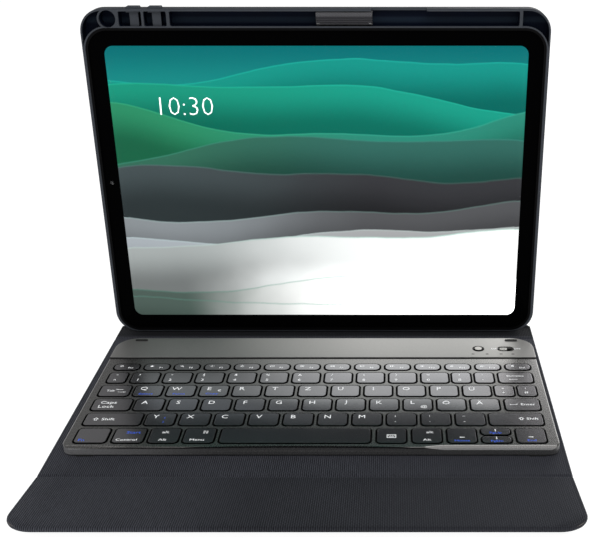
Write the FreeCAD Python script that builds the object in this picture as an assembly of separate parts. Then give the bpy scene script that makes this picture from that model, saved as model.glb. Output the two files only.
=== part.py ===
import FreeCAD, Part
import math
import os

V = FreeCAD.Vector
os.makedirs("parts", exist_ok=True)

# Folio keyboard case for an 11-inch class tablet, standing open.
# Millimetres. +X to the right of the person typing, +Y away from them, +Z up.
# Y is first counted from the face of the tablet's glass, then every piece is
# shifted by Y_SHIFT so that the origin is the bottom centre of the whole case.

# ---- driving dimensions -------------------------------------------------
CASE_W = 252.5            # width of the cover panels
SKIN_T = 0.5              # woven covering
PANEL_T = 2.5             # covering + board + covering
EDGE_W = 1.0              # turned edge of the outer covering

FOLD_1_Y, FOLD_1_Z = -9.5, 1.25      # fold between base panel and spine
FOLD_2_Y, FOLD_2_Z = 8.4, 2.0        # fold between spine and back
FOLD_3_Y, FOLD_3_Z = 8.4, 118.0      # fold between upper back and stand leg
FOLD_F_Y, FOLD_F_Z = -154.1, 1.25    # fold between base panel and front flap
FOLD_GAP = 1.6                       # board stops this far from a fold
FLAP_LEN = 49.0
FLAP_RISE = 8.0                      # degrees, flap lifted off the table at rest
SPINE_END_Y = 8.9

TABLET_W, TABLET_H, TABLET_T = 247.6, 178.5, 5.9
TABLET_Z0 = 4.45
TABLET_R = 11.5
GLASS_T = 0.6
DISPLAY_W, DISPLAY_H = 229.8, 160.5
DISPLAY_T = 1.1

TRAY_W = 252.4
TRAY_Z0, TRAY_Z1 = 2.9, 193.4
TRAY_Y0, TRAY_Y1 = -1.2, 7.5         # lip front, back face
TRAY_BACK_T = 1.5
LIP_OVER = 0.8                       # lip laps over the glass
FIT = 0.05                           # tablet in tray
GROOVE_Z0, GROOVE_Z1 = 184.3, 192.1  # pencil groove
GROOVE_Y1 = 6.0

KB_W = 242.0
KB_X = 1.7                            # keyboard lies this far right of the middle
KB_Y0, KB_Y1 = -137.5, -21.0         # front, rear
KB_Z0 = 2.6
DECK_Z = 7.8
STRIP_Z = 8.4
STRIP_FRONT_Y = -45.6
STRIP_GROOVE = 0.9
KEY_TOP_Z = 8.1
KEY_BOTTOM_Z = 6.3
KEY_GAP_X, KEY_GAP_Y = 0.4, 0.5       # well beyond the key's place
CAP_IN_X, CAP_IN_Y = 0.5, 0.35       # cap inside the key's place
KEY_TRAVEL = 1.2
WALL = 1.5

Y_SHIFT = 96.8


# ---- helpers --------------------------------------------------------------
def box(x0, x1, y0, y1, z0, z1):
    return Part.makeBox(x1 - x0, y1 - y0, z1 - z0, V(x0, y0, z0))


def rounded_face(a0, a1, b0, b1, radii, place):
    """Rounded rectangle; radii at (a0,b0), (a1,b0), (a1,b1), (a0,b1)."""
    r00, r10, r11, r01 = radii
    h = math.sqrt(0.5)
    pts = []

    def arc(ca, cb, r, start):
        s = math.radians(start)
        m = math.radians(start + 45)
        e = math.radians(start + 90)
        return [(ca + r * math.cos(t), cb + r * math.sin(t)) for t in (s, m, e)]

    corners = [
        (a0, b0, r00, a0 + r00, b0 + r00, 180),
        (a1, b0, r10, a1 - r10, b0 + r10, 270),
        (a1, b1, r11, a1 - r11, b1 - r11, 0),
        (a0, b1, r01, a0 + r01, b1 - r01, 90),
    ]
    edges, last, first = [], None, None
    for a, b, r, ca, cb, start in corners:
        p = arc(ca, cb, r, start) if r > 0 else [(a, b)] * 3
        q = [place(*t) for t in p]
        if last is not None and (last - q[0]).Length > 1e-6:
            edges.append(Part.makeLine(last, q[0]))
        if r > 0:
            edges.append(Part.Arc(q[0], q[1], q[2]).toShape())
        first = first or q[0]
        last = q[2]
    if (last - first).Length > 1e-6:
        edges.append(Part.makeLine(last, first))
    return Part.Face(Part.Wire(edges))


def plate(x0, x1, y0, y1, z0, z1, r=0.0):
    """Plate lying flat, corners rounded in plan: one radius, or four from front left."""
    radii = (r,) * 4 if not isinstance(r, tuple) else r
    f = rounded_face(x0, x1, y0, y1, radii, lambda a, b: V(a, b, z0))
    return f.extrude(V(0, 0, z1 - z0))


def upright(x0, x1, z0, z1, y0, y1, r=0.0):
    """Plate standing up, corners rounded in front view: one radius, or four from bottom left."""
    radii = (r,) * 4 if not isinstance(r, tuple) else r
    f = rounded_face(x0, x1, z0, z1, radii, lambda a, b: V(a, y0, b))
    return f.extrude(V(0, y1 - y0, 0))


def soften(shape, radius, want):
    """Round the edges that want(edge) picks, if the radius can be made."""
    edges = [e for e in shape.Edges if want(e)]
    try:
        out = shape.makeFillet(radius, edges)
        if out.isValid() and out.Volume > 0:
            return out
    except Exception:
        pass
    return shape


def at_z(z):
    return lambda e: all(abs(v.Point.z - z) < 1e-4 for v in e.Vertexes)


def at_y(y):
    return lambda e: all(abs(v.Point.y - y) < 1e-4 for v in e.Vertexes)


def one(shape):
    s = shape.Solids
    return s[0] if len(s) == 1 else Part.makeCompound(s)


made = {}
place_x = 0.0


def save(name, *shapes):
    solids = []
    for s in shapes:
        solids += s.Solids
    body = solids[0].copy() if len(solids) == 1 else Part.makeCompound([s.copy() for s in solids])
    body.translate(V(place_x, Y_SHIFT, 0))
    bad = [i for i, s in enumerate(body.Solids) if not s.isValid()]
    if bad:
        print("not valid:", name, bad)
    body.exportStep("parts/%s.step" % name)
    made[name] = body


def raise_flap(shape):
    s = shape.copy()
    s.rotate(V(0, FOLD_F_Y, FOLD_F_Z), V(1, 0, 0), -FLAP_RISE)
    return s


hx = CASE_W / 2

# ---- base panel -------------------------------------------------------------
b_y0, b_y1 = FOLD_F_Y + FOLD_GAP, FOLD_1_Y - FOLD_GAP
inner = plate(-hx + EDGE_W, hx - EDGE_W, b_y0 + EDGE_W, b_y1 - EDGE_W, SKIN_T, PANEL_T, 1.0)
base_outer = plate(-hx, hx, b_y0, b_y1, 0, PANEL_T, 1.5).cut(inner)
BASE_MAGNETS = [(-100, -75), (15, 50)]
base_board = plate(-hx + EDGE_W, hx - EDGE_W, b_y0 + EDGE_W, b_y1 - EDGE_W, SKIN_T, PANEL_T - SKIN_T, 1.0)
magnets = [box(x0, x1, -40, -30, 1.2, PANEL_T - SKIN_T) for x0, x1 in BASE_MAGNETS]
for m in magnets:
    base_board = base_board.cut(m)
save("base_outer_skin", base_outer)
save("base_board", base_board)
save("base_inner_skin", plate(-hx + EDGE_W, hx - EDGE_W, b_y0 + EDGE_W, b_y1 - EDGE_W, PANEL_T - SKIN_T, PANEL_T, 1.0))
save("base_magnets", *magnets)

# ---- front flap ---------------------------------------------------------------
f_y0, f_y1 = FOLD_F_Y - FLAP_LEN, FOLD_F_Y - FOLD_GAP
fr = (12.0, 12.0, 1.5, 1.5)
fri = (11.0, 11.0, 1.0, 1.0)
inner = plate(-hx + EDGE_W, hx - EDGE_W, f_y0 + EDGE_W, f_y1 - EDGE_W, SKIN_T, PANEL_T, fri)
flap_outer = plate(-hx, hx, f_y0, f_y1, 0, PANEL_T, fr).cut(inner)
flap_board = plate(-hx + EDGE_W, hx - EDGE_W, f_y0 + EDGE_W, f_y1 - EDGE_W, SKIN_T, PANEL_T - SKIN_T, fri)
magnets = [box(x - 12, x + 12, f_y0 + 8, f_y0 + 14, 1.0, PANEL_T - SKIN_T) for x in (-85, 0, 85)]
for m in magnets:
    flap_board = flap_board.cut(m)
save("flap_outer_skin", raise_flap(flap_outer))
save("flap_board", raise_flap(flap_board))
save("flap_inner_skin", raise_flap(plate(-hx + EDGE_W, hx - EDGE_W, f_y0 + EDGE_W, f_y1 - EDGE_W, PANEL_T - SKIN_T, PANEL_T, fri)))
save("flap_magnets", *[raise_flap(m) for m in magnets])

# ---- spine ----------------------------------------------------------------------
s_y0, s_y1 = FOLD_1_Y + FOLD_GAP, SPINE_END_Y
inner = plate(-hx + EDGE_W, hx - EDGE_W, s_y0 + EDGE_W, s_y1 - EDGE_W, SKIN_T, PANEL_T, 1.0)
save("spine_outer_skin", plate(-hx, hx, s_y0, s_y1, 0, PANEL_T, 1.5).cut(inner))
save("spine_board", plate(-hx + EDGE_W, hx - EDGE_W, s_y0 + EDGE_W, s_y1 - EDGE_W, SKIN_T, PANEL_T - SKIN_T, 1.0))
save("spine_inner_skin", plate(-hx + EDGE_W, hx - EDGE_W, s_y0 + EDGE_W, s_y1 - EDGE_W, PANEL_T - SKIN_T, PANEL_T, 1.0))

# ---- tray that grips the tablet ---------------------------------------------------
tx = TRAY_W / 2
tray = upright(-tx, tx, TRAY_Z0, TRAY_Z1, TRAY_Y0, TRAY_Y1, (13.0, 13.0, 12.5, 12.5))
tray = soften(tray, 0.9, lambda e: at_y(TRAY_Y0)(e) or at_y(TRAY_Y1)(e))
half = TABLET_W / 2
t_z0, t_z1 = TABLET_Z0, TABLET_Z0 + TABLET_H
cavity = upright(-half - FIT, half + FIT, t_z0 - FIT, t_z1 + FIT, 0.0, TABLET_T + FIT, TABLET_R)
window = upright(-half + LIP_OVER, half - LIP_OVER, t_z0 + LIP_OVER, t_z1 - LIP_OVER, TRAY_Y0 - 1, 0.2, TABLET_R - LIP_OVER)
tray = tray.cut(cavity).cut(window)

# pencil groove along the top, split by ribs into pockets
gz0, gz1 = GROOVE_Z0, GROOVE_Z1
gy0, gy1 = TRAY_Y0 - 1, GROOVE_Y1
HOLE_X, HOLE_R = -110.9, 4.5
RING_T, CORNER_WALL = 0.9, 1.0
WINDOWS = [(-104.9, -92.6), (-91.4, -79.3)]
SLOT = (-77.7, 109.0)
cuts = [Part.makeCylinder(HOLE_R, gy1 - gy0, V(HOLE_X, gy0, (gz0 + gz1) / 2), V(0, 1, 0))]
for x0, x1 in WINDOWS:
    cuts.append(upright(x0, x1, gz0, gz1, gy0, gy1, 0.8))
cuts.append(upright(SLOT[0], SLOT[1], gz0, gz1, gy0, gy1, 1.0))
# corner pockets between the tray's outer corner and the rim around the tablet's corner
shell_in = upright(-tx + CORNER_WALL, tx - CORNER_WALL, 165.0, TRAY_Z1 - CORNER_WALL, gy0, gy1, (0, 0, 12.5 - CORNER_WALL, 12.5 - CORNER_WALL))
rim_out = upright(-half - 1.5, half + 1.5, t_z0 - 1.5, t_z1 + 1.4, gy0 - 1, gy1 + 1, TABLET_R + 1.5)
ring_out = Part.makeCylinder(HOLE_R + RING_T, gy1 - gy0 + 2, V(HOLE_X, gy0 - 1, (gz0 + gz1) / 2), V(0, 1, 0))
cuts.append(one(shell_in.common(box(110.6, tx, gy0, gy1, 160, 200)).cut(rim_out)))
cuts.append(one(shell_in.common(box(-tx, HOLE_X - 1.0, gy0, gy1, 160, 200)).cut(rim_out).cut(ring_out)))
# finger notch in the top wall of the groove
cuts.append(upright(29.8, 59.5, gz1 - 1, TRAY_Z1 + 1, gy0, 3.2, 0.6))
# push pads pass through the groove's top wall and its floor towards the tablet
PADS = [("volume_up_pad", -97.4, -96.85), ("volume_down_pad", -85.7, -84.8)]
PAD_W, PAD_D, STEM_W, STEM_D, PAD_CLEAR = 7.0, 5.0, 4.7, 4.0, 0.25
pad_y0 = 0.4
for name, xb, xs in PADS:
    cuts.append(box(xb - PAD_W / 2 - PAD_CLEAR, xb + PAD_W / 2 + PAD_CLEAR, pad_y0 - PAD_CLEAR, pad_y0 + PAD_D + PAD_CLEAR, gz1 - 1, TRAY_Z1 + 1))
    cuts.append(box(xs - STEM_W / 2 - PAD_CLEAR, xs + STEM_W / 2 + PAD_CLEAR, 0.9 - PAD_CLEAR, 0.9 + STEM_D + PAD_CLEAR, t_z1, gz0 + 1))
# speaker slots, charging slot, and the rear camera's window
for side in (-1, 1):
    for z in (t_z0 + 45, t_z1 - 45):
        cuts.append(box(min(side * (tx + 1), side * (half - 0.5)), max(side * (tx + 1), side * (half - 0.5)), 1.4, 4.6, z - 18, z + 18))
zc = (t_z0 + t_z1) / 2
cuts.append(box(half - 0.5, tx + 1, 1.0, 5.0, zc - 8, zc + 8))
CAM_X, CAM_Z, CAM_W = -105.5, 165.5, 24.0
cuts.append(upright(CAM_X - CAM_W / 2, CAM_X + CAM_W / 2, CAM_Z - CAM_W / 2, CAM_Z + CAM_W / 2, TABLET_T - 0.5, TRAY_Y1 + 1, 7.0))
for c in cuts:
    tray = tray.cut(c)
save("tray_shell", tray)

for name, xb, xs in PADS:
    cap = box(xb - PAD_W / 2, xb + PAD_W / 2, pad_y0, pad_y0 + PAD_D, gz1 - 0.8, TRAY_Z1 + 1.0)
    cap = soften(cap, 0.6, at_z(TRAY_Z1 + 1.0))
    stem = box(xs - STEM_W / 2, xs + STEM_W / 2, 0.9, 0.9 + STEM_D, t_z1 + 0.65, gz1 - 0.5)
    save(name, cap.fuse(stem).removeSplitter())

# elastic loop around the pencil's place
LOOP = (0.0, 30.8)
loop = upright(LOOP[0], LOOP[1], gz0 + 0.15, gz1 - 0.15, -0.7, GROOVE_Y1 - 0.1, 0.0)
loop = loop.cut(box(LOOP[0] - 1, LOOP[1] + 1, 0.0, GROOVE_Y1 - 0.7, gz0 + 0.75, gz1 - 0.75))
save("pencil_loop", loop)

# ---- tablet -------------------------------------------------------------------
housing = upright(-half, half, t_z0, t_z1, GLASS_T, TABLET_T, TABLET_R)
housing = soften(housing, 0.8, at_y(TABLET_T))
dx, dz0 = DISPLAY_W / 2, zc - DISPLAY_H / 2
recess = upright(-dx - 0.05, dx + 0.05, dz0 - 0.05, dz0 + DISPLAY_H + 0.05, 0, GLASS_T + DISPLAY_T + 0.05, 5.0)
FCAM_X = -half + 4.45
fcam_hole = Part.makeCylinder(1.7, 2.4, V(FCAM_X, 0, zc + 3.0), V(0, 1, 0))
housing = housing.cut(recess).cut(fcam_hole)
housing = housing.cut(box(half - 7, half + 1, 1.7, 4.3, zc - 4.6, zc + 4.6))
save("tablet_housing", housing)
save("front_glass", soften(upright(-half, half, t_z0, t_z1, 0, GLASS_T, TABLET_R), 0.15, at_y(0)))
save("display_panel", upright(-dx, dx, dz0, dz0 + DISPLAY_H, GLASS_T, GLASS_T + DISPLAY_T, 5.0))
save("front_camera", Part.makeCylinder(1.6, 1.7, V(FCAM_X, GLASS_T, zc + 3.0), V(0, 1, 0)))
rear = upright(CAM_X - 9.5, CAM_X + 9.5, CAM_Z - 9.5, CAM_Z + 9.5, TABLET_T, TABLET_T + 1.0, 5.5)
for dxx, dzz, r in ((-3.6, 3.6, 3.4), (3.6, -3.6, 3.4), (4.4, 4.6, 1.7)):
    rear = rear.fuse(Part.makeCylinder(r, 0.5, V(CAM_X + dxx, TABLET_T + 1.0, CAM_Z + dzz), V(0, 1, 0)))
save("rear_camera", rear.removeSplitter())

# ---- upper back panel -----------------------------------------------------------
u_z0, u_z1 = FOLD_3_Z + 1.0, TRAY_Z1 - 0.5
ux = tx - 0.4
cam_cut = upright(CAM_X - CAM_W / 2, CAM_X + CAM_W / 2, CAM_Z - CAM_W / 2, CAM_Z + CAM_W / 2, 5, 12, 7.0)
cam_cut_b = upright(CAM_X - CAM_W / 2 - 1, CAM_X + CAM_W / 2 + 1, CAM_Z - CAM_W / 2 - 1, CAM_Z + CAM_W / 2 + 1, 5, 8.7, 8.0)
core = upright(-ux + EDGE_W, ux - EDGE_W, u_z0 + EDGE_W, u_z1 - EDGE_W, TRAY_Y1, 8.7, (1.0, 1.0, 11.1, 11.1))
back_board = core.cut(cam_cut_b)
back_skin = upright(-ux, ux, u_z0, u_z1, TRAY_Y1, 9.2, (1.5, 1.5, 12.1, 12.1)).cut(back_board).cut(cam_cut)
save("back_board", back_board)
save("back_outer_skin", back_skin)

# ---- stand leg, stowed flat against the back -----------------------------------------
l_z0, l_z1 = 3.4, FOLD_3_Z - 1.0
leg_full = upright(-ux, ux, l_z0, l_z1, 7.7, 9.2, (12.5, 12.5, 1.5, 1.5))
leg_in = upright(-ux + EDGE_W, ux - EDGE_W, l_z0 + EDGE_W, l_z1 - EDGE_W, 7.7, 8.7, (11.5, 11.5, 1.0, 1.0))
leg_board = upright(-ux + EDGE_W, ux - EDGE_W, l_z0 + EDGE_W, l_z1 - EDGE_W, 8.0, 8.7, (11.5, 11.5, 1.0, 1.0))
magnets = [box(x - 12, x + 12, 8.0, 8.4, l_z0 + 14, l_z0 + 20) for x in (-80, 0, 80)]
for m in magnets:
    leg_board = leg_board.cut(m)
save("leg_outer_skin", leg_full.cut(leg_in))
save("leg_board", leg_board)
save("leg_inner_skin", upright(-ux + EDGE_W, ux - EDGE_W, l_z0 + EDGE_W, l_z1 - EDGE_W, 7.7, 8.0, (11.5, 11.5, 1.0, 1.0)))
save("leg_magnets", *magnets)

# ---- keyboard ---------------------------------------------------------------------
place_x = KB_X
kx = KB_W / 2
kr = (5.0, 5.0, 12.0, 12.0)

# Keys: name of group, centre x, width, rear y, front y
ROWS = {
    1: (-52.4, -60.2),
    2: (-62.6, -74.8),
    3: (-77.0, -89.2),
    4: (-91.4, -103.8),
    5: (-106.0, -118.3),
    6: (-120.6, -134.4),
}
KEYS = []


def key(node, row, cx, w, rear=None, front=None):
    y1, y0 = ROWS[row]
    KEYS.append((node, row, cx, w, front if front is not None else y0, rear if rear is not None else y1))


for i in range(14):
    key("keys_function_row", 1, -108.5 + 16.75 * i, 14.6)
key("keys_number_row", 2, -110.6, 10.8)
for i in range(10):
    key("keys_number_row", 2, -95.4 + 17.55 * i, 15.6)
key("keys_number_row", 2, 77.0, 11.1)
key("keys_number_row", 2, 89.5, 11.1)
key("key_backspace", 2, 106.6, 19.4)
key("key_tab", 3, -108.3, 16.8)
for i in range(11):
    key("keys_upper_row", 3, -90.6 + 17.5 * i, 15.6)
key("keys_upper_row", 3, 99.0, 11.1)
key("keys_upper_row", 3, 111.1, 10.6)
key("key_caps_lock", 4, -106.2, 20.6)
for i in range(11):
    key("keys_home_row", 4, -86.9 + 17.44 * i, 15.6)
key("key_enter", 4, 106.9, 18.8)
key("key_shift_left", 5, -101.7, 29.6)
for i in range(10):
    key("keys_lower_row", 5, -77.9 + 17.42 * i, 15.6)
key("key_shift_right", 5, 102.0, 28.0)
for cx, w in ((-108.1, 16.6), (-89.9, 16.0), (-72.6, 15.4), (-55.4, 15.8)):
    key("keys_left_modifiers", 6, cx, w)
key("key_space", 6, -8.2, 74.6)
key("keys_right_modifiers", 6, 39.0, 15.2)
key("keys_right_modifiers", 6, 56.4, 15.2)
key("key_arrow_left", 6, 73.6, 15.0)
mid = sum(ROWS[6]) / 2
key("key_arrow_up", 6, 90.5, 15.2, front=mid + 0.45)
key("key_arrow_down", 6, 90.5, 15.2, rear=mid - 0.45)
key("key_arrow_right", 6, 107.6, 15.2)

bottom = plate(-kx + 0.6, kx - 0.6, KB_Y0 + 0.6, KB_Y1 - 0.6, KB_Z0, 3.5, (4.4, 4.4, 11.4, 11.4))
frame = plate(-kx, kx, KB_Y0, KB_Y1, 3.5, DECK_Z, kr)
frame = soften(frame, 0.7, at_z(DECK_Z))
hollow = plate(-kx + WALL, kx - WALL, KB_Y0 + WALL, KB_Y1 - WALL, 3.4, DECK_Z - 1.0, (3.5, 3.5, 10.5, 10.5))
frame = frame.cut(hollow)
# the rear strip is a separate trim plate that sits on a lowered deck
frame = frame.cut(box(-kx - 1, kx + 1, STRIP_FRONT_Y - STRIP_GROOVE, KB_Y1 + 1, DECK_Z - 0.6, DECK_Z + 1))
# shallow finger scoop along the front edge
SCOOP_HALF, SCOOP_DEEP = 88.0, 2.4
R = (SCOOP_HALF ** 2 + SCOOP_DEEP ** 2) / (2 * SCOOP_DEEP)
# the scoop stops short of the front wall's inner face
scoop = Part.makeCylinder(R, 4.0, V(-6.0, KB_Y0 + 1.0 - R, 5.2)).common(box(-kx, kx, KB_Y0 - 5, KB_Y0 + 5, 5.0, 9.5))
frame = frame.cut(scoop)
BEVEL = 1.7


def bevel_section(x, t):
    """Corner of the front edge that a bevel t wide takes away, at x."""
    a, b, c = V(x, KB_Y0 - 0.5, DECK_Z - t - 0.5), V(x, KB_Y0 + t + 0.5, DECK_Z + 0.5), V(x, KB_Y0 - 0.5, DECK_Z + 0.5)
    return Part.Wire([Part.makeLine(a, b), Part.makeLine(b, c), Part.makeLine(c, a)])


for stations in (((-kx - 1, BEVEL), (-66.0, -0.4)), ((kx + 1, BEVEL), (64.0, BEVEL)), ((64.0, BEVEL), (49.0, -0.4))):
    frame = frame.cut(Part.makeLoft([bevel_section(x, t) for x, t in stations], True, True))
wells = []
for node, row, cx, w, y0, y1 in KEYS:
    r = 3.0 if row == 1 else 2.3
    wells.append(plate(cx - w / 2 - KEY_GAP_X, cx + w / 2 + KEY_GAP_X, y0 - KEY_GAP_Y, y1 + KEY_GAP_Y, DECK_Z - 1.5, DECK_Z + 1, r + 0.5))
frame = frame.cut(Part.makeCompound(wells))
SCREWS = [(-112.0, -38.0), (-66.0, -38.0), (8.0, -38.0), (55.0, -38.0)]
BOSS_R = 2.4
for x, y in SCREWS:
    frame = frame.fuse(Part.makeCylinder(BOSS_R, DECK_Z - 0.9 - 3.5, V(x, y, 3.5)))
for x, y in SCREWS:
    frame = frame.cut(Part.makeCylinder(0.85, 2.6, V(x, y, 3.4)))
    bottom = bottom.cut(Part.makeCylinder(1.7, 0.6, V(x, y, KB_Z0 - 0.1))).cut(Part.makeCylinder(0.9, 2, V(x, y, KB_Z0)))
PORT_Y = -34.0
frame = frame.cut(box(kx - 2.5, kx + 1, PORT_Y - 4.5, PORT_Y + 4.5, 3.55, 6.5))

strip = plate(-kx, kx, STRIP_FRONT_Y, KB_Y1, DECK_Z - 0.6, STRIP_Z, (0.4, 0.4, 12.0, 12.0))
strip = soften(strip, 0.5, lambda e: at_z(STRIP_Z)(e) and not all(v.Point.y < STRIP_FRONT_Y + 0.5 for v in e.Vertexes))
BTN = (88.9, -34.9)
SWT = (104.6, -35.1)
LEDS = [(85.4, -41.4), (93.4, -41.4), (101.4, -41.4), (108.2, -41.4)]
PADS_REAR = [(-107.6, -24.4), (108.8, -24.4)]
through = []
through.append(Part.makeCylinder(2.9, 6, V(BTN[0], BTN[1], 4.5)))
through.append(plate(SWT[0] - 4.3, SWT[0] + 4.3, SWT[1] - 2.3, SWT[1] + 2.3, 4.9, 10, 2.25))
for x, y in LEDS:
    through.append(box(x - 0.85, x + 0.85, y - 0.45, y + 0.45, 4.5, 10))
for t in through:
    strip = strip.cut(t)
    frame = frame.cut(t)
for x, y in PADS_REAR:
    strip = strip.cut(plate(x - 3.6, x + 3.6, y - 0.8, y + 0.8, STRIP_Z - 0.5, STRIP_Z + 1, 0.75))
# rubber feet at the lower front edge
FEET_FRONT = [plate(x - 4.3, x + 4.3, KB_Y0 - 0.2, KB_Y0 + 3.0, KB_Z0, 3.5, 0.5) for x in (-109.8, 110.2)]
for f in FEET_FRONT:
    bottom = bottom.cut(f)
save("keyboard_bottom_cover", bottom)
save("keyboard_top_frame", frame)
save("keyboard_upper_strip", strip)

pads = [plate(x - 3.6, x + 3.6, y - 0.8, y + 0.8, STRIP_Z - 0.5, STRIP_Z + 0.5, 0.75) for x, y in PADS_REAR]
pads += FEET_FRONT
save("bumper_pads", *pads)
save("indicator_lights", *[box(x - 0.8, x + 0.8, y - 0.4, y + 0.4, 5.0, STRIP_Z - 0.05) for x, y in LEDS])

btn = Part.makeCylinder(2.75, STRIP_Z + 0.35 - 5.6, V(BTN[0], BTN[1], 5.6))
save("connect_button", soften(btn, 0.3, at_z(STRIP_Z + 0.35)))
knob = plate(SWT[0] - 3.5, SWT[0] + 0.9, SWT[1] - 1.5, SWT[1] + 1.5, 5.4, STRIP_Z + 0.1, 1.45)
knob = knob.cut(box(SWT[0] - 2.6, SWT[0] - 2.2, SWT[1] - 3, SWT[1] + 3, STRIP_Z - 0.2, STRIP_Z + 1))
knob = knob.cut(box(SWT[0] - 1.7, SWT[0] - 1.3, SWT[1] - 3, SWT[1] + 3, STRIP_Z - 0.2, STRIP_Z + 1))
knob = knob.cut(box(SWT[0] - 0.8, SWT[0] - 0.4, SWT[1] - 3, SWT[1] + 3, STRIP_Z - 0.2, STRIP_Z + 1))
save("power_switch", knob)

# inside the keyboard
film_y0, film_y1 = KB_Y0 + WALL + 0.4, -48.0
save("switch_film", plate(-kx + WALL + 0.4, kx - WALL - 0.4, film_y0, film_y1, 3.5, 3.8, 3.0))
sheet = plate(-kx + WALL + 0.4, kx - WALL - 0.4, film_y0, film_y1, 3.8, 4.1, 3.0)
domes = []
for node, row, cx, w, y0, y1 in KEYS:
    r = 2.2 if (y1 - y0) > 7 else 1.8
    domes.append(Part.makeCone(r, r * 0.6, 0.85, V(cx, (y0 + y1) / 2, 4.05)))
sheet = sheet.multiFuse(domes)
save("dome_sheet", sheet)
save("circuit_board", box(60, 116, -44.5, -26, 3.5, 4.4))
save("battery_cell", soften(box(-60, 2, -44.0, -25.5, 3.5, 6.2), 0.6, lambda e: abs(e.Vertexes[0].Point.x - e.Vertexes[-1].Point.x) > 5))
save("keyboard_magnets", *[box(x0, x1, -42, -28, 3.5, 4.5) for x0, x1 in BASE_MAGNETS])
save("charging_port", box(kx - 7.5, kx - 0.2, PORT_Y - 4.4, PORT_Y + 4.4, 4.4, 6.4).cut(box(kx - 6.5, kx + 1, PORT_Y - 3.6, PORT_Y + 3.6, 4.9, 5.9)))
screws = []
for x, y in SCREWS:
    s = Part.makeCylinder(1.65, 0.5, V(x, y, KB_Z0)).fuse(Part.makeCylinder(0.85, 2.6, V(x, y, KB_Z0 + 0.4)))
    s = s.cut(box(x - 1.1, x + 1.1, y - 0.2, y + 0.2, KB_Z0 - 1, KB_Z0 + 0.25))
    screws.append(s.removeSplitter())
save("keyboard_screws", *screws)

groups = {}
for node, row, cx, w, y0, y1 in KEYS:
    r = 3.0 if row == 1 else 2.3
    cap = plate(cx - w / 2 + CAP_IN_X, cx + w / 2 - CAP_IN_X, y0 + CAP_IN_Y, y1 - CAP_IN_Y, KEY_BOTTOM_Z, KEY_TOP_Z, r - 0.2)
    cap = soften(cap, 0.3, at_z(KEY_TOP_Z))
    groups.setdefault(node, []).append(cap)
for node, caps in groups.items():
    save(node, *caps)

lo, hi = [1e9] * 3, [-1e9] * 3
for s in made.values():
    b = s.BoundBox
    lo = [min(lo[0], b.XMin), min(lo[1], b.YMin), min(lo[2], b.ZMin)]
    hi = [max(hi[0], b.XMax), max(hi[1], b.YMax), max(hi[2], b.ZMax)]
print("nodes", len(made), "box", [round(v, 3) for v in lo + hi], "y centre", round((lo[1] + hi[1]) / 2, 3))
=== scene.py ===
import bpy
import bmesh
import math
from mathutils import Matrix, Vector


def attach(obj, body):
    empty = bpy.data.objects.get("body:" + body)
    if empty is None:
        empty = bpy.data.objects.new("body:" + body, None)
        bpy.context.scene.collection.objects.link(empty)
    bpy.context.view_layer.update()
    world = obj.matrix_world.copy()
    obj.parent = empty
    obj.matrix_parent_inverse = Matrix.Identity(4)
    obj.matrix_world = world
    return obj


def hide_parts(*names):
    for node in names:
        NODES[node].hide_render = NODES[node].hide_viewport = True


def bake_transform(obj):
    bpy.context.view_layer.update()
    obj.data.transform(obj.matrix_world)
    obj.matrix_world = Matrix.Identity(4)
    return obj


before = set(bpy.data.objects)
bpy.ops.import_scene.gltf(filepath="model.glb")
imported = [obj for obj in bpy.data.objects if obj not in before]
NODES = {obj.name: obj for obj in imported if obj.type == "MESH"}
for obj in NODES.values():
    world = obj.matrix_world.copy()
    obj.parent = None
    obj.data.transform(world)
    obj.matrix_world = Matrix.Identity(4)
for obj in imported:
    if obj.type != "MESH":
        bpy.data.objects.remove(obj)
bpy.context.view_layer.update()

MM = 0.001
PI = math.pi


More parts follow.
